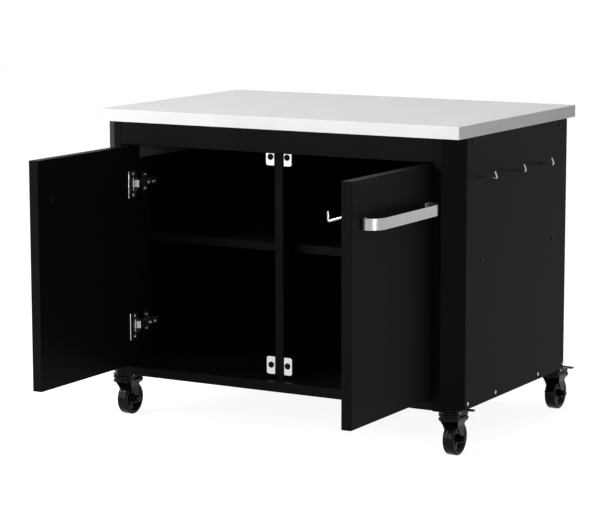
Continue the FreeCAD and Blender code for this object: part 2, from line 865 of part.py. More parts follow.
def handle():
    # A flat strip: a foot at each end, a quarter bend outwards, and the grip between.
    near, far = handle_span()
    x = door_outer_x
    grip = x - handle_reach
    inner = x - handle_thickness
    radius = handle_reach - handle_thickness
    inner_radius = radius - handle_thickness
    y_near = door_end_y - near
    y_far = door_end_y - far
    lip = handle_thickness
    outline = [(x, y_near - handle_foot), (x, y_near), (grip, y_near), (grip, y_far), (x, y_far),
               (x, y_far + handle_foot), (inner, y_far + handle_foot), (inner, y_far + lip),
               (grip + lip, y_far + lip), (grip + lip, y_near - lip), (inner, y_near - lip),
               (inner, y_near - handle_foot)]
    radii = [0, 0, radius, radius, 0, 0, 0, 0, inner_radius, inner_radius, 0, 0]
    strip = extruded(outline, radii, "z", handle_bottom, handle_top)
    seats = [seat - vector(door_thickness, 0, 0) for seat in handle_screw_seats()]
    return drilled(strip, seats, vector(1, 0, 0), screw_radius, door_thickness)


def handle_plate():
    near, far = handle_span()
    margin = handle_plate_margin
    y_near = door_end_y - near - margin
    y_far = door_end_y - far + margin
    low = handle_bottom - margin
    high = handle_top + margin
    plate = extruded([(y_far, low), (y_near, low), (y_near, high), (y_far, high)],
                     handle_plate_corner, "x",
                     door_inner_x, door_inner_x + handle_plate_thickness)
    return drilled(plate, handle_screw_seats(), vector(1, 0, 0), screw_radius)


def handle_screws():
    length = door_thickness + handle_plate_thickness + handle_thickness - handle_screw_end_gap
    return [dome_screw(seat, vector(1, 0, 0), length) for seat in handle_screw_seats()]


def hook_wire(start, corner, tip):
    # A round wire of two straight runs joined by a bend, with a rounded tip.
    before = (start - corner).normalize()
    after = (tip - corner).normalize()
    half = math.acos(before.dot(after)) / 2
    first = corner + before * (hook_bend / math.tan(half))
    second = corner + after * (hook_bend / math.tan(half))
    centre = corner + (before + after).normalize() * (hook_bend / math.sin(half))
    section = Part.Face(Part.Wire(Part.makeCircle(hook_wire_radius, first, before)))
    curve = section.revolve(centre, after.cross(before), 180 - math.degrees(2 * half))
    runs = [rod(start, first, hook_wire_radius), rod(second, tip, hook_wire_radius)]
    return curve.fuse(runs + [Part.makeSphere(hook_wire_radius, tip)])


def door_hook():
    # A wire out of the inner face, falling a little, with its tip turned up and outwards.
    along = door_width - door_hook_from_free_end
    root = door_point(along, door_thickness, door_top - door_hook_below_top)
    run = vector(hook_reach, 0, -door_hook_fall)
    elbow = root + run
    tip = elbow + vector(door_hook_tip_lean, 0, door_hook_tip_height)
    inside = run * (hook_wire_radius / hook_reach)
    room = 2 * hook_wire_radius
    behind_face = block(root.x - room, root.x, root.y - room, root.y + room, root.z - room, root.z + room)
    return hook_wire(root - inside, elbow, tip).cut(behind_face).removeSplitter()


def side_hook(root):
    # A level wire out of the right panel, its tip turned up and back, with a nut inside.
    elbow = root + vector(hook_reach, 0, 0)
    tip = elbow + vector(-hook_tip_lean, 0, hook_tip_height)
    wire = hook_wire(root, elbow, tip)
    stud = rod(root - vector(hook_stud_length, 0, 0), root, hook_wire_radius)
    nut = extruded(ring_of_corners(hook_nut_across, 6), 0, "x", -hook_nut_height, 0.0)
    nut.translate(root - vector(body_sheet, 0, 0))
    return wire.fuse([stud, nut]).removeSplitter()


# Casters: the body's left front one is drawn about its swivel axis, the others are moved copies


def caster_mount():
    # Stem, neck, upper race and kingpin in one, riveted over below the fork's crown.
    low_head = crown_plate_bottom - kingpin_head_gap
    rim = race_radius
    waist = rim - race_waist
    bead = race_bottom + race_bead_height
    ceiling = race_top - race_top_thickness
    profile = [(0, body_bottom + stem_length), (stem_radius, body_bottom + stem_length),
               (stem_radius, body_bottom), (mount_neck_radius, body_bottom),
               (mount_neck_radius, race_top), (rim, race_top), (rim, race_top - race_lip),
               (waist, bead + race_lip), (rim, bead), (rim, race_bottom),
               (rim - race_rim_wall, race_bottom), (rim - race_rim_wall, ceiling),
               (kingpin_radius + kingpin_flare, ceiling),
               (kingpin_radius, ceiling - kingpin_flare_height),
               (kingpin_radius, low_head), (kingpin_head_radius, low_head),
               (kingpin_head_radius - kingpin_head_chamfer, low_head - kingpin_head_height),
               (0, low_head - kingpin_head_height)]
    return turned(profile, vector(0, 0, 0), vector(0, 0, 1))


def stem_nut():
    level = body_bottom + base_channel_sheet
    nut = extruded(ring_of_corners(stem_nut_across, 6), 0, "z", level, level + stem_nut_height)
    return nut.cut(rod(vector(0, 0, level), vector(0, 0, level + stem_nut_height), stem_radius))


def fork_side_outline():
    # The fork seen from its side, (y, z): the crown's edge, ears for the pedal, legs to the axle.
    top = crown_plate_top
    edge = top - crown_edge_height
    ear_low = top - fork_ear_height
    boss = fork_boss_radius
    return [(-race_radius, top), (fork_ear_back, top), (fork_ear_back, ear_low),
            (fork_leg_back, ear_low), (caster_trail + boss, axle_height + fork_leg_back_rise),
            (caster_trail + boss, axle_height - boss), (caster_trail - boss, axle_height - boss),
            (caster_trail - boss, axle_height + fork_leg_front_rise),
            (fork_leg_front, edge), (-race_radius, edge)]


def fork():
    # Pressed crown with its race and turned-down edge, and two legs that slope in to the axle.
    bore = kingpin_radius + kingpin_fit
    edge = crown_plate_top - crown_edge_height
    crown = turned([(bore, crown_top), (crown_race_radius - crown_race_chamfer, crown_top),
                    (crown_race_radius, crown_top - crown_race_chamfer),
                    (crown_race_radius, crown_plate_top),
                    (race_radius - crown_edge_chamfer, crown_plate_top),
                    (race_radius, crown_plate_top - crown_edge_chamfer), (race_radius, edge),
                    (race_radius - crown_thickness, edge),
                    (race_radius - crown_thickness, crown_plate_bottom),
                    (bore, crown_plate_bottom)],
                   vector(0, 0, 0), vector(0, 0, 1))
    outer = race_radius - fork_leg_inset
    inner = fork_inner_width / 2 + crown_thickness
    low = axle_height - fork_boss_radius - cutter_over
    line = [(outer - crown_lap, crown_plate_top), (outer, crown_plate_top),
            (outer, crown_plate_top - fork_shoulder_drop), (inner, crown_plate_top - fork_slope_end),
            (inner, low)]
    leg = folded(line[::-1], crown_thickness, "y", -race_radius, fork_ear_back, fork_bend)
    boss = boss_share * fork_boss_radius
    radii = [0, fork_ear_corner, fork_ear_corner, fork_leg_back_corner, fork_leg_back_bend, boss, boss,
             fork_leg_front_bend, fork_leg_front_corner, 0]
    side = extruded(fork_side_outline(), radii, "x", -race_radius, race_radius)
    leg = leg.common(side)
    legs = leg.fuse(mirrored(leg))
    plan = [(-outer, -outer), (outer, -outer), (outer, fork_ear_back), (-outer, fork_ear_back)]
    legs = legs.common(extruded(plan, [boss_share * outer, boss_share * outer, 0, 0], "z", low, crown_top))
    slot_half = pedal_cheek_half + fork_slot_gap
    slot = block(-slot_half, slot_half, race_radius - fork_slot_depth, fork_ear_back + cutter_over,
                 crown_plate_bottom - cutter_over, crown_top)
    legs = legs.cut(slot)
    pin_y = brake_pin_back
    pin_z = crown_plate_top - brake_pin_drop
    half = pin_reach(pin_z)
    pin = rod(vector(-half, pin_y, pin_z), vector(half, pin_y, pin_z), brake_pin_radius)
    body = crown.fuse([legs, pin]).removeSplitter()
    axle_end = vector(outer, caster_trail, axle_height)
    axle_hole = rod(vector(-outer, caster_trail, axle_height), axle_end, axle_radius)
    return body.cut(axle_hole)


def pin_reach(z):
    # Half the fork's outer width at this height, with the pin's riveted end.
    outer = race_radius - fork_leg_inset
    inner = fork_inner_width / 2 + crown_thickness
    start = crown_plate_top - fork_shoulder_drop
    end = crown_plate_top - fork_slope_end
    share = max(0.0, min(1.0, (start - z) / (start - end)))
    return outer + (inner - outer) * share + brake_pin_proud


def wheel():
    # Tread with rounded shoulders, a thinner web with round pockets, and the hub.
    half = wheel_width / 2
    web = wheel_web_thickness / 2
    hub = hub_width / 2
    bore = axle_radius + axle_fit
    rim = wheel_rim_radius + wheel_rim_slope
    outline = [(bore, -hub), (hub_radius, -hub), (hub_radius, -web), (wheel_rim_radius, -web),
               (rim, -half), (wheel_radius, -half), (wheel_radius, half), (rim, half),
               (wheel_rim_radius, web), (hub_radius, web),
               (hub_radius, hub), (bore, hub)]
    half_radii = [0, 0, 0, 0, 0, wheel_shoulder]
    radii = half_radii + half_radii[::-1]
    corners = [vector(h, r, 0) for r, h in outline]
    solid = Part.Face(rounded_loop(corners, radii)).revolve(vector(0, 0, 0), vector(1, 0, 0), 360)
    for index in range(wheel_pocket_count):
        angle = 2 * math.pi * index / wheel_pocket_count
        y = wheel_pocket_circle * math.cos(angle)
        z = wheel_pocket_circle * math.sin(angle)
        for side in (1, -1):
            floor = vector(side * wheel_pocket_floor / 2, y, z)
            solid = solid.cut(rod(vector(side * half, y, z), floor, wheel_pocket_radius))
    solid.translate(vector(0, caster_trail, axle_height))
    return solid


def axle():
    # A bolt with its head outside the right leg and its nut outside the left one.
    face = fork_inner_width / 2 + crown_thickness
    y = caster_trail
    z = axle_height
    shank = rod(vector(-face - axle_nut_height - axle_end_proud, y, z), vector(face, y, z), axle_radius)
    head = turned([(0, 0), (axle_head_radius, 0), (axle_head_radius, axle_head_side),
                   (axle_head_crown, axle_head_height),
                   (0, axle_head_height)], vector(face, y, z), vector(1, 0, 0))
    nut = extruded(ring_of_corners(axle_nut_across, 6), 0, "x", -face - axle_nut_height, -face)
    nut.translate(vector(0, y, z))
    return shank.fuse([head, nut]).removeSplitter()


def pedal():
    # A flared plate behind the crown, two cheeks on the pin and a shoe above the tread.
    top = crown_plate_top + pedal_above_crown
    low = top - pedal_thickness
    start = race_radius + pedal_start_gap
    waist = (start + pedal_length) / 2
    tip = pedal_tip_half
    cut = pedal_tip_corner
    half_outline = [(pedal_root_half, start), (pedal_root_half + pedal_waist_flare, waist),
                    (tip, pedal_length - cut), (tip - cut, pedal_length)]
    outline = half_outline + [(-x, y) for x, y in half_outline[::-1]]
    radii = [pedal_root_corner, pedal_waist_corner, pedal_edge_corner, pedal_edge_corner]
    plate = extruded(outline, radii + radii[::-1], "z", low, top)
    lip_half = tip - cut - pedal_lip_inset
    lip = extruded([(-lip_half, pedal_length - pedal_thickness), (lip_half, pedal_length - pedal_thickness),
                    (lip_half, pedal_length), (-lip_half, pedal_length)], pedal_lip_corner, "z",
                   low - pedal_lip, top)
    pin_y = brake_pin_back
    pin_z = crown_plate_top - brake_pin_drop
    plate = plate.fuse(lip)
    plate.rotate(vector(0, pin_y, top), vector(1, 0, 0), -pedal_slope)
    inner = pedal_cheek_half - pedal_cheek_thickness
    half = pedal_cheek_width / 2
    cheek_top = low + pedal_cheek_sink
    cheek = [(pin_y - half, cheek_top), (pin_y - half, pin_z - half), (pin_y + half, pin_z - half),
             (pin_y + half + pedal_cheek_reach, cheek_top - pedal_cheek_fall)]
    radii = [0, pedal_cheek_corner, pedal_cheek_corner, 0]
    cheeks = [extruded(cheek, radii, "x", side * inner, side * pedal_cheek_half)
              for side in (1, -1)]
    # The shoe is a cam. Pressing the pedal by the rest angle points its nose at the wheel's centre.
    distance = math.hypot(axle_height - pin_z, caster_trail - pin_y)
    towards = math.atan2(axle_height - pin_z, caster_trail - pin_y) + math.radians(shoe_rest_angle)
    reach = distance - wheel_radius - shoe_gap
    cam = ((sleeve_radius, shoe_root), (reach, shoe_ahead), (reach, 0.0),
           (reach - shoe_fall, -shoe_behind), (sleeve_radius, -shoe_root))
    outline = [(pin_y + r * math.cos(towards + math.radians(turn)),
                pin_z + r * math.sin(towards + math.radians(turn))) for r, turn in cam]
    shoe = extruded(outline, [0, shoe_corner, shoe_corner, shoe_corner, 0], "x",
                    -shoe_half_width, shoe_half_width)
    sleeve_half = inner + sleeve_side
    sleeve = rod(vector(-sleeve_half, pin_y, pin_z), vector(sleeve_half, pin_y, pin_z), sleeve_radius)
    body = plate.fuse([sleeve, shoe] + cheeks).removeSplitter()
    bore = rod(vector(-pedal_tip_half, pin_y, pin_z), vector(pedal_tip_half, pin_y, pin_z),
               brake_pin_radius + brake_pin_fit)
    return body.cut(bore)


def moved(shape, x, y):
    copy = shape.copy()
    copy.translate(vector(x, y, 0))
    return copy


# Names and files


def export(name, shape):
    solids = shape.Solids
    shape = solids[0] if len(solids) == 1 else Part.makeCompound(solids)
    shape.exportStep("parts/" + name + ".step")
    print(name, len(solids), round(shape.Volume), shape.isValid())


def group(shapes):
    return Part.makeCompound([solid for shape in shapes for solid in shape.Solids])


def body_screws():
    screws = []
    for seat in side_screw_seats():
        screw = dome_screw(seat, vector(-1, 0, 0))
        screws += [screw, mirrored(screw)]
    screws += [dome_screw(seat, vector(0, 1, 0)) for seat in back_screw_seats()]
    screws += [dome_screw(seat, vector(0, 0, -1), worktop_screw_length) for seat in worktop_screw_seats()]
    return group(screws)


def main():
    os.makedirs("parts", exist_ok=True)
    export("worktop", worktop())
    down = vector(0, 0, -1)
    board = drilled(worktop_board(), worktop_screw_seats(), down, screw_radius, worktop_screw_length)
    export("worktop_board", board)
    export("side_panel_left", side_panel(-1))
    export("side_panel_right", side_panel(1))
    export("back_panel", back_panel())
    export("bottom_panel", bottom_panel())
    export("front_rail", front_rail())
    export("partition", partition())
    for name, maker in (("side_rail", side_rail), ("hinge_post", hinge_post), ("shelf", shelf),
                        ("base_channel", base_channel)):
        shape = maker()
        export(name + "_left", shape)
        export(name + "_right", mirrored(shape))
    plates = [catch_plate(height) for height in catch_heights()]
    magnets = [catch_magnet(height) for height in catch_heights()]
    export("catch_plates", group(plates + [mirrored(plate) for plate in plates]))
    export("catch_magnets", group(magnets + [mirrored(magnet) for magnet in magnets]))
    export("body_screws", body_screws())
    export("side_hooks", group([side_hook(root) for root in hook_roots()]))

    hinge_plates = [hinge_plate(height) for height in hinge_heights]
    screws = [screw for height in hinge_heights for screw in hinge_screws(height)]
    export("hinge_plates", group(hinge_plates + [mirrored(plate) for plate in hinge_plates]))
    export("hinge_screws", group(screws + [mirrored(screw) for screw in screws]))
    for level, height in zip(("upper", "lower"), hinge_heights):
        arm = hinge_arm(height)
        export("hinge_arm_left_" + level, arm)
        export("hinge_arm_right_" + level, mirrored(arm))

    cups = [hinge_cup(height) for height in hinge_heights]
    left_door = {"door_skin": door_skin(), "door_pan": door_pan(), "handle": handle(),
                 "handle_plate": handle_plate(), "handle_screws": group(handle_screws()),
                 "hinge_cups": group(cups)}
    for name, shape in left_door.items():
        export(name + "_left", shape)
        export(name + "_right", mirrored(shape))
    export("door_hook", mirrored(door_hook()))

    pieces = {"mount": caster_mount(), "fork": fork(), "wheel": wheel(), "axle": axle(), "pedal": pedal()}
    nut = stem_nut()
    nuts = []
    for side, x in (("left", caster_x), ("right", -caster_x)):
        for end, y in zip(("front", "back"), caster_rows):
            nuts.append(moved(nut, x, y))
            for name, shape in pieces.items():
                export("caster_" + name + "_" + end + "_" + side, moved(shape, x, y))
    export("stem_nuts", group(nuts))


main()
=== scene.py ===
import json
import math
import bmesh
import bpy
import numpy as np
from mathutils import Matrix, Vector


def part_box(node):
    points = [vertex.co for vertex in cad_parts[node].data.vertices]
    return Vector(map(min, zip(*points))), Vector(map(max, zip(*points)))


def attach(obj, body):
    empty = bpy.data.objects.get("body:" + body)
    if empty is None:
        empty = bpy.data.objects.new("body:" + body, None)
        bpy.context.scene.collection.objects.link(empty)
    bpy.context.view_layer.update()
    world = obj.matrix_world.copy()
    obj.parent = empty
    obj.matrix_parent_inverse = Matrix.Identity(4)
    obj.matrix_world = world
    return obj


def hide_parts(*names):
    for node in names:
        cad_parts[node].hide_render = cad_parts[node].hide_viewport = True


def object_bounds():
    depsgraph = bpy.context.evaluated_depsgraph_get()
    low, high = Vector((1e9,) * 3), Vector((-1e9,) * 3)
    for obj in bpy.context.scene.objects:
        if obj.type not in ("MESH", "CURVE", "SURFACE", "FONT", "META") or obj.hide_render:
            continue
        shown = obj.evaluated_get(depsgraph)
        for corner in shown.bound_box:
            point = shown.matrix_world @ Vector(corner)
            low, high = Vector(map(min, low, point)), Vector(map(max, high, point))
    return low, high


# Grill cart with storage. Metres: X right, Y back, Z up, and the origin at the middle of the
# worktop's top face. Both doors stand open at rest.
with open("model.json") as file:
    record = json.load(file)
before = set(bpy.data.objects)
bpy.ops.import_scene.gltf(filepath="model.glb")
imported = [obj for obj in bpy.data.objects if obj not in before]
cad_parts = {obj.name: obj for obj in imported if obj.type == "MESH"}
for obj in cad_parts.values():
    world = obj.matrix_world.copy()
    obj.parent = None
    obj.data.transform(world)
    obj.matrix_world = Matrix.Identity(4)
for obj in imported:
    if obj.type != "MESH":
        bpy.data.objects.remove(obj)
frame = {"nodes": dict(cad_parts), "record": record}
nodes = frame["nodes"]
cadBox = [list(corner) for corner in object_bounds()]
sides = ("left", "right")
casterNames = ("front_left", "front_right", "back_left", "back_right")
print("frame loaded,", len(nodes), "nodes")


def surfaceGrid(points, closeAround=False, closeAlong=False):
    # points is rows x columns x 3. Four neighbouring points make a face, and the last column may
    # join the first, as the last row may. Faces are kept as a list of whole arrays of one size.
    rows, cols = points.shape[:2]
    index = np.arange(rows * cols).reshape(rows, cols)
    if closeAround:
        index = np.concatenate([index, index[:, :1]], axis=1)
    if closeAlong:
        index = np.concatenate([index, index[:1]], axis=0)
    quads = np.stack([index[:-1, :-1], index[:-1, 1:], index[1:, 1:], index[1:, :-1]], axis=-1)
    return points.reshape(-1, 3), [quads.reshape(-1, 4)]


def closeEnds(verts, faces, count):
    # One flat face over the first ring of count points and one over the last.
    ring = np.arange(count)
    return verts, faces + [np.stack([ring[::-1], len(verts) - count + ring])]


def joinParts(parts):
    # Stacks pairs of points and faces, each part's face numbers moved past the points before it.
    starts = np.cumsum([0] + [len(verts) for verts, faces in parts])
    allVerts = np.concatenate([verts for verts, faces in parts])
    allFaces = [block + start for start, (verts, faces) in zip(starts, parts) for block in faces]
    return allVerts, allFaces


mergeDistance = 2e-6  # points nearer than this are one point


def makeObject(name, verts, faces, finish, body, slotName, replaced=(), smoothAngle=35):
    # Rings of radius 0 are merged to one point, so every pole is closed, and faces turn outward.
    # Edges sharper than smoothAngle in degrees stay crisp.
    mesh = bpy.data.meshes.new(name)
    mesh.from_pydata(verts.tolist(), [], [face for block in faces for face in block.tolist()])
    work = bmesh.new()
    work.from_mesh(mesh)
    bmesh.ops.remove_doubles(work, verts=work.verts, dist=mergeDistance)
    bmesh.ops.recalc_face_normals(work, faces=work.faces)
    work.to_mesh(mesh)
    work.free()
    obj = bpy.data.objects.new(name, mesh)
    bpy.context.scene.collection.objects.link(obj)
    mesh.materials.append(finishes[finish])
    mesh.shade_smooth()
    mesh.set_sharp_from_angle(angle=math.radians(smoothAngle))
    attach(obj, body)
    if replaced:
        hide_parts(*replaced)


def boxOf(node):
    # The low and high corner of a part's box at rest.
    return [np.array(corner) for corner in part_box(node)]


def axesAlong(axis):
    # The axis at length 1, with two directions square to it and to each other.
    axis = np.array(axis, float) / np.linalg.norm(axis)
    helper = np.array([0, 0, 1.0]) if abs(axis[2]) < 0.9 else np.array([1.0, 0, 0])
    across = np.cross(helper, axis)
    across /= np.linalg.norm(across)
    return axis, across, np.cross(axis, across)


def turnedRings(profile, centre, axis, around):
    # Each profile point (radius, height) goes once round the axis:
    # centre + axis * height + radius * (cos * across + sin * up). Radius 0 closes an end.
    axis, across, up = axesAlong(axis)
    turn = np.linspace(0, 2 * np.pi, around, endpoint=False)
    circle = np.cos(turn)[:, None] * across + np.sin(turn)[:, None] * up
    profile = np.array(profile, float)
    points = (np.array(centre) + profile[:, 1][:, None, None] * axis
              + profile[:, 0][:, None, None] * circle[None])
    return surfaceGrid(points, closeAround=True)


def roundedLine(points, radii, steps):
    # A line of straight runs whose corners are arcs: each corner is cut back by
    # radius / tan(half its angle), and the arc's points are its centre plus the radius turned
    # from one run to the next: (sin((1 - t) * angle) * start + sin(t * angle) * end) / sin(angle).
    points = [np.array(p, float) for p in points]
    line = [points[0]]
    for i in range(1, len(points) - 1):
        before = points[i - 1] - points[i]
        after = points[i + 1] - points[i]
        before /= np.linalg.norm(before)
        after /= np.linalg.norm(after)
        half = math.acos(np.clip(before @ after, -1, 1)) / 2
        inward = (before + after) / np.linalg.norm(before + after)
        centre = points[i] + inward * radii[i - 1] / math.sin(half)
        start = points[i] + before * radii[i - 1] / math.tan(half) - centre
        end = points[i] + after * radii[i - 1] / math.tan(half) - centre
        angle = math.pi - 2 * half
        t = np.linspace(0, 1, steps + 1)[:, None]
        arc = (np.sin((1 - t) * angle) * start + np.sin(t * angle) * end) / math.sin(angle)
        line.extend(centre + arc)
    line.append(points[-1])
    return np.array(line)


def sweptProfile(path, profile, side):
    # A closed flat profile carried along a path in a plane: each ring is path point
    # + profile x * across + profile y * side, with across square to the path's direction.
    side = np.array(side, float)
    step = np.gradient(path, axis=0)
    step /= np.linalg.norm(step, axis=1)[:, None]
    across = np.cross(side, step)
    across /= np.linalg.norm(across, axis=1)[:, None]
    rings = path[:, None] + profile[None, :, :1] * across[:, None] + profile[None, :, 1:] * side
    return closeEnds(*surfaceGrid(rings, closeAround=True), len(profile))


def roundTube(path, radius, around):
    # A circle carried along a line: path point + radius * (cos * across + sin * up), with the two
    # directions turned as little as can be from ring to ring. radius holds a number for each ring,
    # and 0 closes the end.
    step = np.gradient(path, axis=0)
    step /= np.linalg.norm(step, axis=1)[:, None]
    first = np.cross(step[0], [0.3, 0.2, 0.93])  # any direction that no path here runs along
    across = []
    for direction in step:
        first = first - direction * (first @ direction)
        first /= np.linalg.norm(first)
        across.append(first)
    across = np.array(across)
    up = np.cross(step, across)
    turn = np.linspace(0, 2 * np.pi, around, endpoint=False)
    rings = path[:, None] + radius[:, None, None] * (
        np.cos(turn)[None, :, None] * across[:, None] + np.sin(turn)[None, :, None] * up[:, None])
    return surfaceGrid(rings, closeAround=True)


def roundedRectangle(halfX, halfY, radius, steps=5, support=0.0):
    # Four quarter circles: corner centre + radius * (cos, sin), a quarter turn each. A support
    # adds a point that far along the flat at both ends of a corner, so that the flats shade flat.
    turn = np.linspace(0, np.pi / 2, steps)
    slide = np.zeros(steps)
    if support:
        turn = np.concatenate([turn[:1], turn, turn[-1:]])
        slide = np.concatenate([[-support], slide, [support]])
    corners = []
    for quarter, (signX, signY) in enumerate(((1, 1), (-1, 1), (-1, -1), (1, -1))):
        angle = turn + quarter * np.pi / 2
        x = signX * (halfX - radius) + radius * np.cos(angle) - slide * np.sin(angle)
        y = signY * (halfY - radius) + radius * np.sin(angle) + slide * np.cos(angle)
        corners.append(np.stack([x, y], axis=1))
    return np.concatenate(corners)


def smoothStep(low, high, value):
    # 0 below low, 1 above high and 3t^2 - 2t^3 between.
    t = np.clip((value - low) / (high - low), 0, 1)
    return t * t * (3 - 2 * t)


def newMaterial(name, color, metallic=0.0, specular=0.5):
    material = bpy.data.materials.new(name)
    material.use_nodes = True
    tree = material.node_tree
    shader = tree.nodes["Principled BSDF"]
    shader.inputs["Base Color"].default_value = (*color, 1)
    shader.inputs["Metallic"].default_value = metallic
    shader.inputs["Specular IOR Level"].default_value = specular
    place = tree.nodes.new("ShaderNodeTexCoord")
    return material, tree, shader, place


def addNoise(tree, place, scale, detail, stretch=(1, 1, 1)):
    # Cloudy noise on the part's own coordinates. A small stretch draws it out along that axis.
    mapping = tree.nodes.new("ShaderNodeMapping")
    mapping.inputs["Scale"].default_value = stretch
    tree.links.new(place.outputs["Object"], mapping.inputs["Vector"])
    noise = tree.nodes.new("ShaderNodeTexNoise")
    noise.inputs["Scale"].default_value = scale
    noise.inputs["Detail"].default_value = detail
    tree.links.new(mapping.outputs["Vector"], noise.inputs["Vector"])
    return noise.outputs["Fac"]


def addCells(tree, place, scale):
    # Cells on the part's own coordinates, each with a colour and a distance from its middle.
    cells = tree.nodes.new("ShaderNodeTexVoronoi")
    cells.inputs["Scale"].default_value = scale
    tree.links.new(place.outputs["Object"], cells.inputs["Vector"])
    return cells


def cellTone(tree, cells):
    # One number for each cell, from the red of its colour.
    split = tree.nodes.new("ShaderNodeSeparateColor")
    tree.links.new(cells.outputs["Color"], split.inputs["Color"])
    return split.outputs["Red"]


noiseMiddle = (0.3, 0.7)  # most of a noise's values lie between these


def addRange(tree, value, low, high):
    # The middle of the noise, spread from low to high.
    spread = tree.nodes.new("ShaderNodeMapRange")
    spread.inputs["From Min"].default_value = noiseMiddle[0]
    spread.inputs["From Max"].default_value = noiseMiddle[1]
    spread.inputs["To Min"].default_value = low
    spread.inputs["To Max"].default_value = high
    tree.links.new(value, spread.inputs["Value"])
    return spread.outputs["Result"]


def addTint(tree, shader, value, look):
    # The base colour runs from the look's dark tone at 0 to its light tone at 1.
    mix = tree.nodes.new("ShaderNodeMix")
    mix.data_type = "RGBA"
    mix.inputs["A"].default_value = (*look["dark"], 1)
    mix.inputs["B"].default_value = (*look["light"], 1)
    tree.links.new(value, mix.inputs["Factor"])
    tree.links.new(mix.outputs["Result"], shader.inputs["Base Color"])


def addGloss(tree, shader, value, look):
    # The roughness runs over the look's two values.
    tree.links.new(addRange(tree, value, *look["roughness"]), shader.inputs["Roughness"])


def addBump(tree, shader, value, strength, height):
    # Grain of up to that height in metres, as the light sees it.
    bump = tree.nodes.new("ShaderNodeBump")
    bump.inputs["Strength"].default_value = strength
    bump.inputs["Distance"].default_value = height
    tree.links.new(value, bump.inputs["Height"])
    tree.links.new(bump.outputs["Normal"], shader.inputs["Normal"])


# The looks of the finishes: two tones, the two ends of the roughness and the size of the grain
greyTop = {"dark": (0.76, 0.76, 0.765), "light": (0.80, 0.80, 0.805),
           "roughness": (0.42, 0.50), "grain": 1500}
blackPanel = {"dark": (0.0034, 0.0034, 0.0036), "light": (0.0045, 0.0045, 0.0048),
              "roughness": (0.40, 0.50), "grain": 1100}
zincSheet = {"dark": (0.10, 0.102, 0.105), "light": (0.16, 0.163, 0.166),
             "roughness": (0.30, 0.46), "spangle": 45, "metallic": 0.5, "rolling": 60.0,
             "detail": 3.0, "stretch": (1, 0.06, 1), "bump": 0.06, "height": 0.0003}
brushedSteel = {"dark": (0.33, 0.33, 0.33), "light": (0.43, 0.43, 0.43),
                "roughness": (0.20, 0.28), "lines": 900, "detail": 5.0,
                "stretch": (1, 0.02, 1), "bump": 0.08, "height": 0.0001}
brightNickel = {"dark": (0.46, 0.46, 0.47), "light": (0.58, 0.58, 0.59),
                "roughness": (0.12, 0.24), "grain": 400}
glossBlack = {"dark": (0.003, 0.003, 0.003), "light": (0.005, 0.005, 0.0053),
              "roughness": (0.12, 0.20), "grain": 260}
wheelBlack = {"dark": (0.003, 0.003, 0.003), "light": (0.005, 0.005, 0.0053),
              "roughness": (0.10, 0.16), "grain": 320}
mattBlack = {"dark": (0.002, 0.002, 0.002), "light": (0.004, 0.004, 0.004),
             "roughness": (0.50, 0.65), "grain": 700}
hingeSteel = {"dark": (0.27, 0.27, 0.275), "light": (0.38, 0.38, 0.385),
              "roughness": (0.30, 0.42), "grain": 350}
polishedNickel = {"dark": (0.70, 0.70, 0.71), "light": (0.80, 0.80, 0.81),
                  "roughness": (0.08, 0.14), "grain": 300}
screwZinc = {"dark": (0.30, 0.30, 0.31), "light": (0.46, 0.46, 0.47),
             "roughness": (0.20, 0.35), "grain": 800}
hookMetal = {"dark": (0.30, 0.30, 0.30), "light": (0.42, 0.42, 0.42),
             "roughness": (0.16, 0.28), "grain": 500}
screwBlack = {"dark": (0.004, 0.004, 0.004), "light": (0.008, 0.008, 0.008),
              "roughness": (0.22, 0.34), "grain": 900}
boardCore = {"dark": (0.22, 0.15, 0.085), "light": (0.42, 0.31, 0.2),
             "roughness": 0.8, "chip": 260, "bump": 0.3, "height": 0.0006}
# What all painted finishes share, and what all plated ones do
paintLook = {"cloud": 7.0, "cloudDetail": 3.0, "grainDetail": 2.0, "height": 0.0002}
platingLook = {"detail": 3.0, "bump": 0.03, "height": 0.0001}


def paintedFinish(name, look, bump, specular):
    # Powder coat or smooth plastic: a slow change of tone, with fine grain in gloss and bump.
    material, tree, shader, place = newMaterial(name, look["light"], specular=specular)
    slow = addNoise(tree, place, paintLook["cloud"], paintLook["cloudDetail"])
    fine = addNoise(tree, place, look["grain"], paintLook["grainDetail"])
    addTint(tree, shader, addRange(tree, slow, 0, 1), look)
    addGloss(tree, shader, fine, look)
    addBump(tree, shader, fine, bump, paintLook["height"])
    return material


def zincFinish(name, look):
    # Zinc plating: crystals of slightly different tone, with long faint rolling marks.
    material, tree, shader, place = newMaterial(name, look["light"], look["metallic"])
    crystals = addCells(tree, place, look["spangle"])
    rolled = addNoise(tree, place, look["rolling"], look["detail"], look["stretch"])
    addTint(tree, shader, cellTone(tree, crystals), look)
    addGloss(tree, shader, rolled, look)
    addBump(tree, shader, rolled, look["bump"], look["height"])
    return material


def brushedFinish(name, look):
    # Brushing lines: noise drawn out along the strip, in tone, gloss and bump.
    material, tree, shader, place = newMaterial(name, look["light"], metallic=1.0)
    lines = addNoise(tree, place, look["lines"], look["detail"], look["stretch"])
    addTint(tree, shader, addRange(tree, lines, 0, 1), look)
    addGloss(tree, shader, lines, look)
    addBump(tree, shader, lines, look["bump"], look["height"])
    return material


def platedFinish(name, look):
    # Nickel or zinc plating on small parts: a cloud in tone and gloss, and the faintest waves.
    material, tree, shader, place = newMaterial(name, look["light"], metallic=1.0)
    cloud = addNoise(tree, place, look["grain"], platingLook["detail"])
    addTint(tree, shader, addRange(tree, cloud, 0, 1), look)
    addGloss(tree, shader, cloud, look)
    addBump(tree, shader, cloud, platingLook["bump"], platingLook["height"])
    return material


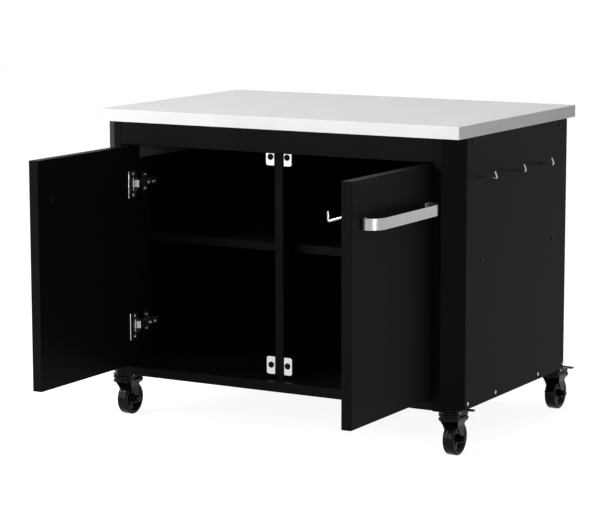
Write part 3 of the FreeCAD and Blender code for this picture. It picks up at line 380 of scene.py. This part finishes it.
def chipFinish(name, look):
    # Pressed wood chips: cells of different brown, slightly raised.
    material, tree, shader, place = newMaterial(name, look["light"])
    shader.inputs["Roughness"].default_value = look["roughness"]
    chips = addCells(tree, place, look["chip"])
    addTint(tree, shader, cellTone(tree, chips), look)
    addBump(tree, shader, chips.outputs["Distance"], look["bump"], look["height"])
    return material


# Each finish with its look, and for paint the strength of its grain and its gloss
finishes = {
    "grey_worktop": paintedFinish("worktop powder coat", greyTop, 0.1, specular=0.3),
    "board_core": chipFinish("chip board", boardCore),
    "black_panels": paintedFinish("black powder coat", blackPanel, 0.1, specular=0.025),
    "zinc_rails": zincFinish("zinc plated sheet", zincSheet),
    "bright_trim": platedFinish("bright nickel", brightNickel),
    "brushed_handle": brushedFinish("brushed steel", brushedSteel),
    "black_plastic": paintedFinish("matt black plastic", mattBlack, 0.2, specular=0.05),
    "black_steel": paintedFinish("gloss black steel", glossBlack, 0.04, specular=0.1),
    "black_wheel": paintedFinish("smooth black plastic", wheelBlack, 0.06, specular=0.07),
    "hook_wire": platedFinish("plated hook wire", hookMetal),
    "hinge_steel": platedFinish("nickel plated hinge steel", hingeSteel),
    "polished_rim": platedFinish("polished nickel", polishedNickel),
    "zinc_screw": platedFinish("zinc plated screw", screwZinc),
    "black_screw": paintedFinish("blackened screw", screwBlack, 0.05, specular=0.1),
}
slotOf = {row["node"]: row["material_slot"] for row in frame["record"]["subparts"]}
# Parts whose finish differs from the rest of their slot, by the start of their name
ownFinish = {"hinge_arm": "hinge_steel", "hinge_cups": "hinge_steel",
             "hinge_plates": "hinge_steel", "hinge_post": "black_panels"}
for nodeName, node in nodes.items():
    own = [finish for start, finish in ownFinish.items() if nodeName.startswith(start)]
    node.data.materials.clear()
    node.data.materials.append(finishes[own[0] if own else slotOf[nodeName]])
print("finishes on", len(nodes), "nodes")


wheelLook = {"bore": 0.00405, "hub": 0.0095, "rim": 0.0270, "rimSlope": 0.0015, "lip": 0.0007,
             "halfTread": 0.0125, "web": 0.0065, "shoulder": 0.004, "rimStep": 0.0001,
             "treadHalf": 0.0030, "mouldLine": 0.00015, "lineHalf": 0.0005, "crestHalf": 0.0002,
             "pockets": 5, "pocketRadius": 0.0050, "pocketCircle": 0.0182, "pocketFloor": 0.0015,
             "pocketEdge": 0.0011, "webRings": 48, "around": 280}


def wheelProfile(radius, hubHalf, look):
    # Half of the wheel's cut from the bore over the hub, web, rim and shoulder to the middle of
    # the tread as (radius, x), then its mirror. The shoulder is a quarter circle, and the tread
    # ends in the fine line that the mould leaves.
    lip, web, half = look["lip"], look["web"], look["halfTread"]
    innerRim = look["rim"] + look["rimSlope"]
    crown = radius - look["mouldLine"]
    hub = [(look["bore"], 0), (look["bore"], hubHalf - lip), (look["bore"] + lip, hubHalf),
           (look["hub"] - lip, hubHalf), (look["hub"], hubHalf - lip), (look["hub"], web + lip)]
    disc = [(r, web) for r in np.linspace(look["hub"] + lip, look["rim"] - lip, look["webRings"])]
    rim = [(look["rim"], web + lip), (innerRim, half - lip),
           (innerRim + lip, half - look["rimStep"])]
    turn = np.linspace(0, np.pi / 2, 8)
    shoulder = [(min(radius - look["shoulder"] * (1 - math.sin(t)), crown),
                 half - look["shoulder"] * (1 - math.cos(t))) for t in turn]
    tread = [(crown, look["treadHalf"]), (crown, look["lineHalf"]), (radius, look["crestHalf"])]
    oneSide = hub + disc + rim + shoulder + tread
    return np.array(oneSide + [(r, -x) for r, x in oneSide[::-1][:-1]])


def wheelSurface(node, look):
    # The cut goes round the axle: point = (centre x - x, centre y + r * cos, centre z + r * sin).
    # On the web, x sinks to the pocket's floor where the point is nearer than the pocket's radius
    # to a pocket's centre, with a smooth step over its edge.
    low, high = boxOf(node)
    centre = (low + high) / 2
    profile = wheelProfile((high[2] - low[2]) / 2, (high[0] - low[0]) / 2, look)
    r, x = profile[:, :1], profile[:, 1:]
    turn = np.linspace(0, 2 * np.pi, look["around"], endpoint=False)
    sector = 2 * np.pi / look["pockets"]
    nearest = (turn + sector / 2) % sector - sector / 2
    distance = np.hypot(r * np.cos(nearest) - look["pocketCircle"], r * np.sin(nearest))
    edge = look["pocketEdge"]
    sunk = 1 - smoothStep(look["pocketRadius"] - edge, look["pocketRadius"] + edge, distance)
    onWeb = np.isclose(np.abs(x), look["web"])
    across = x - np.sign(x) * sunk * onWeb * (look["web"] - look["pocketFloor"])
    points = np.stack([centre[0] - across, centre[1] + r * np.cos(turn),
                       centre[2] + r * np.sin(turn)], axis=-1)
    return surfaceGrid(points, closeAround=True, closeAlong=True)


for caster in casterNames:
    wheelNode = "caster_wheel_" + caster
    makeObject("wheel_" + caster, *wheelSurface(wheelNode, wheelLook), "black_wheel",
               "wheel_" + caster, "black_wheel", [wheelNode])
print("wheels made")

handleLook = {"thickness": 0.003, "foot": 0.018, "edge": 0.0008, "fold": 0.0016,
              "support": 0.0004, "straight": 0.0001}


def handleStrip(side, look):
    # The strip's rounded section carried along its line: foot, fold, quarter bend, grip and back.
    low, high = boxOf("handle_" + side)
    outward = -1 if side == "left" else 1
    face = high[0] if side == "left" else low[0]
    t = look["thickness"]
    reach = high[0] - low[0]
    onDoor = face + outward * t / 2
    grip = face + outward * (reach - t / 2)
    z = (low[2] + high[2]) / 2
    corners = [(onDoor, high[1] - look["foot"], z), (onDoor, high[1] - t / 2, z),
               (grip, high[1] - t / 2, z), (grip, low[1] + t / 2, z),
               (onDoor, low[1] + t / 2, z), (onDoor, low[1] + look["foot"], z)]
    bend = reach - t - look["fold"] - look["straight"]
    path = roundedLine(corners, [look["fold"], bend, bend, look["fold"]], 16)
    section = roundedRectangle(t / 2, (high[2] - low[2]) / 2, look["edge"],
                               support=look["support"])
    return sweptProfile(path, section, (0, 0, 1))


for side in sides:
    makeObject("handle_strip_" + side, *handleStrip(side, handleLook), "brushed_handle",
               "door_" + side, "brushed_handle", ["handle_" + side], 30)
print("handles made")

hookLook = {"wire": 0.0025, "reach": 0.0388, "bend": 0.0028, "tipLean": 0.0047,
            "tipHeight": 0.012, "stud": 0.008, "panel": 0.0012, "nutAcross": 0.008,
            "nutHeight": 0.004, "nutLip": 0.06, "count": 3, "startGap": 1e-5, "ballStart": 0.15,
            "doorFall": 0.012, "doorTipLean": 0.0, "doorTipHeight": 0.018}


def hookWire(corners, look):
    # A tube along the bent wire that ends in half a ball: beyond the tip its rings stand at
    # wire * sin(t), with the radius wire * cos(t). A ring of radius 0 closes the start.
    path = roundedLine(corners, [look["bend"]], 12)
    tip = np.array(corners[-1]) - np.array(corners[-2])
    tip /= np.linalg.norm(tip)
    turn = np.linspace(look["ballStart"], np.pi / 2, 8)
    ball = path[-1] + look["wire"] * np.sin(turn)[:, None] * tip
    first = path[1] - path[0]
    start = path[0] - first / np.linalg.norm(first) * look["startGap"]
    radius = np.concatenate([[0.0], np.full(len(path), look["wire"]), look["wire"] * np.cos(turn)])
    radius[-1] = 0
    return roundTube(np.concatenate([[start], path, ball]), radius, 24)


def hexNut(centre, axis, look):
    # Six flat sides, with a small chamfer at both ends: rings of six points from end to end.
    corner = look["nutAcross"] / 2 / math.cos(math.pi / 6)
    lip = look["nutLip"] * look["nutAcross"]
    height = look["nutHeight"]
    profile = [(0, 0), (corner - lip, 0), (corner, lip / 2), (corner, height - lip / 2),
               (corner - lip, height), (0, height)]
    return turnedRings(profile, centre, axis, 6)


def sideHooks(look):
    # Each hook is a wire from its stud through the panel to the elbow and up the leaning tip,
    # with a nut behind the panel.
    low, high = boxOf("side_hooks")
    rootX = high[0] - look["wire"] - look["reach"]
    nutCorner = look["nutAcross"] / 2 / math.cos(math.pi / 6)
    z = low[2] + look["nutAcross"] / 2
    parts = []
    for y in np.linspace(low[1] + nutCorner, high[1] - nutCorner, look["count"]):
        elbow = (rootX + look["reach"], y, z)
        tip = (elbow[0] - look["tipLean"], y, z + look["tipHeight"])
        nut = (rootX - look["panel"] - look["nutHeight"], y, z)
        parts.append(hookWire([(rootX - look["stud"], y, z), elbow, tip], look))
        parts.append(hexNut(nut, (1, 0, 0), look))
    return joinParts(parts)


def doorHook(look):
    # One wire from the door's inner face, falling to its elbow, then up the tip.
    low, high = boxOf("door_hook")
    y = (low[1] + high[1]) / 2
    root = (high[0], y, high[2] - look["wire"] - look["doorTipHeight"] + look["doorFall"])
    elbow = (root[0] - look["reach"], y, root[2] - look["doorFall"])
    tip = (elbow[0] - look["doorTipLean"], y, elbow[2] + look["doorTipHeight"])
    return hookWire([root, elbow, tip], look)


makeObject("side_hook_wires", *sideHooks(hookLook), "hook_wire", "cart", "bright_trim",
           ["side_hooks"])
makeObject("door_hook_wire", *doorHook(hookLook), "hook_wire", "door_right", "bright_trim",
           ["door_hook"])
print("hooks made")

screwLook = {"head": 0.0042, "height": 0.0020, "side": 0.0007, "shank": 0.0020, "neck": 0.0002,
             "pitch": 0.0011, "thread": 0.00025, "tip": 0.6, "crossArm": 0.0022,
             "crossHalf": 0.00045, "crossDepth": 0.0011, "crossSoft": 0.00012,
             "domeStart": 0.12, "around": 40}


def screwProfile(length, look):
    # From the shank's blunt tip over a zigzag thread to the head, as (radius, height). The dome is
    # side + rise * sqrt(1 - (r / head)^2) high.
    turns = np.arange(1, int(length / look["pitch"]) - 1)
    thread = [(look["shank"] - (look["thread"] if k % 2 else 0), -length + look["pitch"] * k)
              for k in turns]
    edge = [(look["shank"], -look["neck"]), (look["head"], 0), (look["head"], look["side"])]
    rise = look["height"] - look["side"]
    dome = [(r, look["side"] + rise * math.sqrt(max(0, 1 - (r / look["head"]) ** 2)))
            for r in look["head"] * np.cos(np.linspace(look["domeStart"], np.pi / 2, 13))[:-1]]
    start = [(0, -length), (look["shank"] * look["tip"], -length)]
    return np.array(start + thread + edge + dome + [(0, look["height"])])


def screw(seat, outward, length, look):
    # The profile's rings round the screw's axis, with a cross recess in the dome: where a point is
    # within a slot's half width of one of two lines and within an arm's length of the middle, it
    # sinks by depth * (1 - r / (2 * arm)).
    axis, across, up = axesAlong(outward)
    profile = screwProfile(length, look)
    r, height = profile[:, :1], profile[:, 1:]
    turn = np.linspace(0, 2 * np.pi, look["around"], endpoint=False)
    a, b = np.abs(r * np.cos(turn)), np.abs(r * np.sin(turn))
    soft, half, arm = look["crossSoft"], look["crossHalf"], look["crossArm"]
    inSlot = 1 - smoothStep(half - soft, half + soft, np.minimum(a, b))
    inArm = 1 - smoothStep(arm - soft, arm + soft, np.maximum(a, b))
    sunk = inSlot * inArm * (1 - np.hypot(a, b) / (2 * arm)) * look["crossDepth"]
    along = height - sunk * (height > look["side"])
    points = (np.array(seat) + along[..., None] * axis
              + (r * np.cos(turn))[..., None] * across + (r * np.sin(turn))[..., None] * up)
    return surfaceGrid(points, closeAround=True)


def screwSet(seats, look):
    # A screw at each seat (place, direction, length) in one piece.
    return joinParts([screw(seat, outward, length, look) for seat, outward, length in seats])


# Screws at (y, z) on both side panels, at (x, z) on the back and at (x, y) under the worktop
bodyScrews = {"sideX": 0.4545, "backY": 0.3025, "rimZ": -0.0282, "length": 0.009,
              "rimLength": 0.014,
              "upper": [(-0.230, -0.040), (0.221, -0.040), (-0.1875, -0.296), (0.1855, -0.296)],
              "lower": [(y, -0.59975) for y in (-0.249, -0.110, 0.117, 0.257)],
              "back": [(0.40525, z) for z in (-0.072, -0.237, -0.402, -0.567)],
              "rim": [(0.41915, y) for y in (-0.195, 0.0, 0.195)]}


def sideSeats(row, look):
    return [((sign * look["sideX"], y, z), (sign, 0, 0), look["length"])
            for y, z in look[row] for sign in (-1, 1)]


def backSeats(look):
    return [((sign * x, look["backY"], z), (0, 1, 0), look["length"])
            for x, z in look["back"] for sign in (-1, 1)]


def rimSeats(look):
    return [((sign * x, y, look["rimZ"]), (0, 0, -1), look["rimLength"])
            for x, y in look["rim"] for sign in (-1, 1)]


darkSeats = sideSeats("upper", bodyScrews) + backSeats(bodyScrews)
lightSeats = sideSeats("lower", bodyScrews) + rimSeats(bodyScrews)
makeObject("black_body_screws", *screwSet(darkSeats, screwLook), "black_screw", "cart",
           "black_steel", ["body_screws"])
makeObject("bright_body_screws", *screwSet(lightSeats, screwLook), "zinc_screw", "cart",
           "bright_trim", ["body_screws"])

# Each hinge has two screws through its plate's wings and two through its arm
hingeLevels = (-0.170, -0.4965)  # heights of the upper and the lower hinge
hingeScrews = {"wingX": 0.383, "wingY": -0.227, "wingHalf": 0.016,
               "armX": 0.3665, "armY": (-0.236, -0.216), "length": 0.009}


def hingeSeats(look):
    seats = []
    for sign in (-1, 1):
        for level in hingeLevels:
            places = [(look["wingX"], look["wingY"], level - look["wingHalf"]),
                      (look["wingX"], look["wingY"], level + look["wingHalf"])]
            places += [(look["armX"], y, level) for y in look["armY"]]
            seats += [((sign * x, y, z), (-sign, 0, 0), look["length"]) for x, y, z in places]
    return seats


makeObject("hinge_cross_screws", *screwSet(hingeSeats(hingeScrews), screwLook), "zinc_screw",
           "cart", "bright_trim", ["hinge_screws"])


def handleSeats(side, look):
    # The two screws through the door's inner face into the handle's feet.
    low, high = boxOf("handle_screws_" + side)
    inward = 1 if side == "left" else -1
    seatX = high[0] - look["height"] if side == "left" else low[0] + look["height"]
    length = high[0] - low[0] - look["height"]
    z = (low[2] + high[2]) / 2
    return [((seatX, y, z), (inward, 0, 0), length)
            for y in (low[1] + look["head"], high[1] - look["head"])]


for side in sides:
    makeObject("handle_cross_screws_" + side, *screwSet(handleSeats(side, screwLook), screwLook),
               "black_screw", "door_" + side, "black_steel", ["handle_screws_" + side])
print("screws made")

magnetLook = {"radius": 0.0070, "lip": 0.0006, "flange": 0.0016, "waist": 0.0058,
              "ring": 0.0042, "ringDepth": 0.0004, "slope": 0.0004, "pole": 0.0030,
              "poleDrop": 0.0001, "around": 40}


def catchMagnets(look):
    # Rings round each magnet's axis: a barrel with a flange at its front, a groove round its face
    # and a raised pole at the middle.
    low, high = boxOf("catch_magnets")
    front = high[1] - low[1]
    r, lip, waist = look["radius"], look["lip"], look["waist"]
    groove = front - look["ringDepth"]
    profile = [(0, 0), (waist - lip, 0), (waist, lip), (waist, front - look["flange"] - lip),
               (r, front - look["flange"]), (r, front - lip), (r - lip, front),
               (look["ring"] + look["slope"], front), (look["ring"], groove),
               (look["pole"] + look["slope"], groove), (look["pole"], front - look["poleDrop"]),
               (0, front)]
    places = [(x, z) for x in (low[0] + r, high[0] - r) for z in (low[2] + r, high[2] - r)]
    return joinParts([turnedRings(profile, (x, high[1], z), (0, -1, 0), look["around"])
                      for x, z in places])


makeObject("catch_magnet_barrels", *catchMagnets(magnetLook), "black_plastic", "cart",
           "black_plastic", ["catch_magnets"], 30)
print("magnets made")

rimLook = {"radius": 0.0011, "proud": 0.0013, "flangeEnd": 0.0480, "half": 0.0310, "around": 20}
# The turned-up end of each hinge arm has a bead like it, at these places on both sides
beadLook = {"x": 0.3674, "y": -0.2621, "radius": 0.0010, "half": 0.0080, "around": 20}


def upright(x, y, level, look):
    # A round bar that stands upright, its ends rounded over: the radius is radius * sin(t) where
    # the height is half - radius * (1 - cos(t)) from the middle.
    turn = np.linspace(0, np.pi / 2, 6)
    rise = look["half"] - look["radius"] * (1 - np.cos(turn))
    height = np.concatenate([-rise, rise[::-1]])
    radius = look["radius"] * np.concatenate([np.sin(turn), np.sin(turn[::-1])])
    path = np.stack([0 * height + x, 0 * height + y, height + level], axis=1)
    return roundTube(path, radius, look["around"])


def flangeRims(side, look):
    # The rolled bead up the free edge of each cup's flange.
    low, high = boxOf("door_pan_" + side)
    x = high[0] + look["proud"] if side == "left" else low[0] - look["proud"]
    y = high[1] - look["flangeEnd"] + look["radius"]
    return joinParts([upright(x, y, level, look) for level in hingeLevels])


def armBeads(look):
    return joinParts([upright(sign * look["x"], look["y"], level, look)
                      for sign in (-1, 1) for level in hingeLevels])


for side in sides:
    makeObject("hinge_flange_rims_" + side, *flangeRims(side, rimLook), "polished_rim",
               "door_" + side, "bright_trim")
makeObject("hinge_arm_beads", *armBeads(beadLook), "polished_rim", "cart", "bright_trim")
print("hinge rims and beads made")

coverLook = {"thickness": 0.001, "grow": 0.003, "corner": 0.003, "slope": 0.0004, "step": 0.016,
             "rib": 0.0003, "stepZ": 0.004, "stepShare": 0.1, "cornerCut": 0.002}


def handleCover(side, look):
    # A thin plate behind the handle: rings of a rounded rectangle run from its edge up a slope to
    # its face, then a shallow raised field inside, each ring at its own height off the door.
    low, high = boxOf("handle_plate_" + side)
    inward = 1 if side == "left" else -1
    base = low[0] if side == "left" else high[0]
    middle = (low + high) / 2
    halfY, halfZ = (high[1] - low[1]) / 2, (high[2] - low[2]) / 2 + look["grow"]
    t, rib, slope = look["thickness"], look["rib"], look["slope"]
    rings = [(0, 0), (0, t - rib - slope), (slope, t - rib), (look["step"], t - rib),
             (look["step"] + rib, t)]
    points = []
    for inset, height in rings:
        insetZ = min(inset, look["stepZ"] + inset * look["stepShare"])
        y, z = roundedRectangle(halfY - inset, halfZ - insetZ,
                                look["corner"] - min(insetZ, look["cornerCut"])).T
        points.append(np.stack([base + inward * height + 0 * y, middle[1] + inward * y,
                                middle[2] + z], axis=1))
    return closeEnds(*surfaceGrid(np.array(points), closeAround=True), len(points[0]))


for side in sides:
    makeObject("handle_cover_" + side, *handleCover(side, coverLook), "black_panels",
               "door_" + side, "black_panels", ["handle_plate_" + side], 30)
print("handle covers made")

pedalLook = {"swivelX": 0.421, "swivelY": 0.269, "pin": 0.042, "slope": 4.0, "top": -0.6215,
             "ribs": (0.054, 0.0585, 0.063, 0.0675, 0.072), "ribHalf": 0.0010,
             "ribHeight": 0.0008, "ribSunk": 0.0003, "ribFade": 0.1, "waistHalf": 0.0185,
             "waistAt": 0.0515, "tipHalf": 0.0275, "tipAt": 0.077, "margin": 0.0035,
             "skirtOuter": 0.0178, "skirtSheet": 0.0016, "skirtLip": 0.0003,
             "skirt": ((0.0186, -0.6232), (0.0186, -0.6296), (0.0374, -0.6296),
                       (0.0374, -0.6230), (0.0262, -0.6222))}


def swivelPlace(caster, look):
    # The upright axis of a caster's swivel, as (x, y).
    return np.array([look["swivelX"] * (-1 if caster.endswith("left") else 1),
                     look["swivelY"] * (-1 if caster.startswith("front") else 1)])


def pedalRibs(caster, look):
    # Grip ribs across the pedal: height * cos^2 over a rib's width, less towards its ends, on a
    # plane that falls away from the pin at the pedal's slope.
    place = swivelPlace(caster, look)
    fall = math.tan(math.radians(look["slope"]))
    across = np.linspace(-1, 1, 25)
    along = np.linspace(-1, 1, 9)[:, None]
    fade = look["ribFade"]
    endFade = np.sqrt(1 - np.clip((np.abs(across) - 1 + fade) / fade, 0, 1) ** 2)
    height = look["ribHeight"] * np.cos(along * np.pi / 2) ** 2 * endFade
    parts = []
    for rib in look["ribs"]:
        share = (rib - look["waistAt"]) / (look["tipAt"] - look["waistAt"])
        half = look["waistHalf"] + share * (look["tipHalf"] - look["waistHalf"]) - look["margin"]
        y = rib + along * look["ribHalf"] + 0 * across
        plane = look["top"] - (y - look["pin"]) * fall
        x = place[0] + half * across + 0 * y
        upper = np.stack([x, place[1] + y, plane + height], axis=-1)
        lower = np.stack([x, place[1] + y, plane - look["ribSunk"]], axis=-1)[::-1]
        loop = np.concatenate([upper, lower]).transpose(1, 0, 2)
        parts.append(closeEnds(*surfaceGrid(loop, closeAround=True), loop.shape[1]))
    return joinParts(parts)


def flatPlate(outline, centre, halfWidth, chamfer):
    # A flat outline in (y, z) given a width along x: the outline at both sides, and the outline
    # drawn in by the chamfer at both faces.
    outline = np.array(outline, float)
    middle = outline.mean(axis=0)
    inner = middle + (outline - middle) * (1 - 2 * chamfer / np.ptp(outline, axis=0))
    rings = [(inner, -halfWidth), (outline, chamfer - halfWidth),
             (outline, halfWidth - chamfer), (inner, halfWidth)]
    points = np.array([np.column_stack([np.full(len(ring), centre[0] + x),
                                        ring[:, 0] + centre[1], ring[:, 1]]) for ring, x in rings])
    return closeEnds(*surfaceGrid(points, closeAround=True), len(outline))


def pedalSkirts(caster, look):
    # A flat plate on each side of the fork's crown, where the pedal's cheeks reach down.
    x, y = swivelPlace(caster, look)
    half = look["skirtSheet"] / 2
    return joinParts([flatPlate(look["skirt"], (x + sign * (look["skirtOuter"] - half), y),
                                half, min(look["skirtLip"], half / 3)) for sign in (-1, 1)])


for caster in casterNames:
    makeObject("pedal_ribs_" + caster, *pedalRibs(caster, pedalLook), "black_wheel",
               "pedal_" + caster, "black_wheel", (), 60)
    makeObject("pedal_skirts_" + caster, *pedalSkirts(caster, pedalLook), "black_wheel",
               "pedal_" + caster, "black_wheel", (), 30)
print("pedal ribs and skirts made")

stageLook = {"floorTone": 0.5, "floorRoughness": 0.9, "floorGlow": 0.90, "floorHalf": 9.0,
             "world": 0.17}


def addStageRays(tree):
    # 1 for rays from the camera and for those seen in glossy or clear surfaces, else 0.
    path = tree.nodes.new("ShaderNodeLightPath")
    total = path.outputs["Is Camera Ray"]
    for output in ("Is Glossy Ray", "Is Transmission Ray"):
        larger = tree.nodes.new("ShaderNodeMath")
        larger.operation = "MAXIMUM"
        tree.links.new(total, larger.inputs[0])
        tree.links.new(path.outputs[output], larger.inputs[1])
        total = larger.outputs["Value"]
    return total


def addGlow(tree, socket, otherRays, stageRays):
    # One strength for the rays that see the stage and another for the rest.
    level = tree.nodes.new("ShaderNodeMapRange")
    level.inputs["To Min"].default_value = otherRays
    level.inputs["To Max"].default_value = stageRays
    tree.links.new(addStageRays(tree), level.inputs["Value"])
    tree.links.new(level.outputs["Result"], socket)


def makeFloor(look):
    # A flat sheet at the wheels' feet, pale by its own glow, on which the cart's shadow shows.
    half, ground = look["floorHalf"], cadBox[0][2]
    mesh = bpy.data.meshes.new("floor")
    mesh.from_pydata([(-half, -half, ground), (half, -half, ground), (half, half, ground),
                      (-half, half, ground)], [], [(0, 1, 2, 3)])
    floor = bpy.data.objects.new("floor", mesh)
    bpy.context.scene.collection.objects.link(floor)
    material = bpy.data.materials.new("pale floor")
    material.use_nodes = True
    shader = material.node_tree.nodes["Principled BSDF"]
    shader.inputs["Base Color"].default_value = (look["floorTone"],) * 3 + (1,)
    shader.inputs["Roughness"].default_value = look["floorRoughness"]
    shader.inputs["Specular IOR Level"].default_value = 0.0
    shader.inputs["Emission Color"].default_value = (1, 1, 1, 1)
    addGlow(material.node_tree, shader.inputs["Emission Strength"], 0.0, look["floorGlow"])
    mesh.materials.append(material)


def makeWorld(look):
    world = bpy.data.worlds.new("studio")
    bpy.context.scene.world = world
    world.use_nodes = True
    background = world.node_tree.nodes["Background"]
    background.inputs["Color"].default_value = (1, 1, 1, 1)
    addGlow(world.node_tree, background.inputs["Strength"], look["world"], 1.0)


makeFloor(stageLook)
makeWorld(stageLook)

lampAim = (0, 0, -0.35)  # the middle of the cart
lampLook = {
    "key": {"place": (-3.0, -4.4, 1.3), "size": (5.0, 3.6), "power": 236},
    "strip": {"place": (2.4, -2.1, -0.37), "size": (0.35, 0.66), "power": 15},
    "spark": {"place": (-2.5, -2.4, 2.2), "size": (0.36, 0.36), "power": 48},
    "top": {"place": (-0.2, -0.5, 3.2), "size": (3.0, 3.0), "power": 37},
}


def makeLamps(look):
    for name, lamp in look.items():
        data = bpy.data.lights.new(name, "AREA")
        data.shape = "RECTANGLE"
        data.size, data.size_y = lamp["size"]
        data.energy = lamp["power"]
        obj = bpy.data.objects.new(name, data)
        bpy.context.scene.collection.objects.link(obj)
        obj.location = lamp["place"]
        obj.visible_camera = False
        aim = Vector(lampAim) - Vector(lamp["place"])
        obj.rotation_euler = aim.to_track_quat("-Z", "Y").to_euler()


makeLamps(lampLook)

cameraLook = {"place": (2.5815, -4.6711, 0.4685), "turn": 29.879, "down": 8.704, "roll": -0.10,
              "lens": 139.95, "sensor": 36.0, "clipEnd": 100}


def makeCamera(look):
    # Tilted down from the level, then turned about the upright, as the photo was taken.
    data = bpy.data.cameras.new("camera")
    data.sensor_width = look["sensor"]
    data.lens = look["lens"]
    data.clip_end = look["clipEnd"]
    camera = bpy.data.objects.new("camera", data)
    bpy.context.scene.collection.objects.link(camera)
    tilt = Matrix.Rotation(math.radians(90 - look["down"]), 4, "X")
    turn = Matrix.Rotation(math.radians(look["turn"]), 4, "Z")
    roll = Matrix.Rotation(math.radians(look["roll"]), 4, "Z")
    camera.matrix_world = Matrix.Translation(look["place"]) @ turn @ tilt @ roll
    bpy.context.scene.camera = camera


makeCamera(cameraLook)
bpy.context.scene.view_settings.view_transform = "Standard"
print("stage, lamps and camera ready")
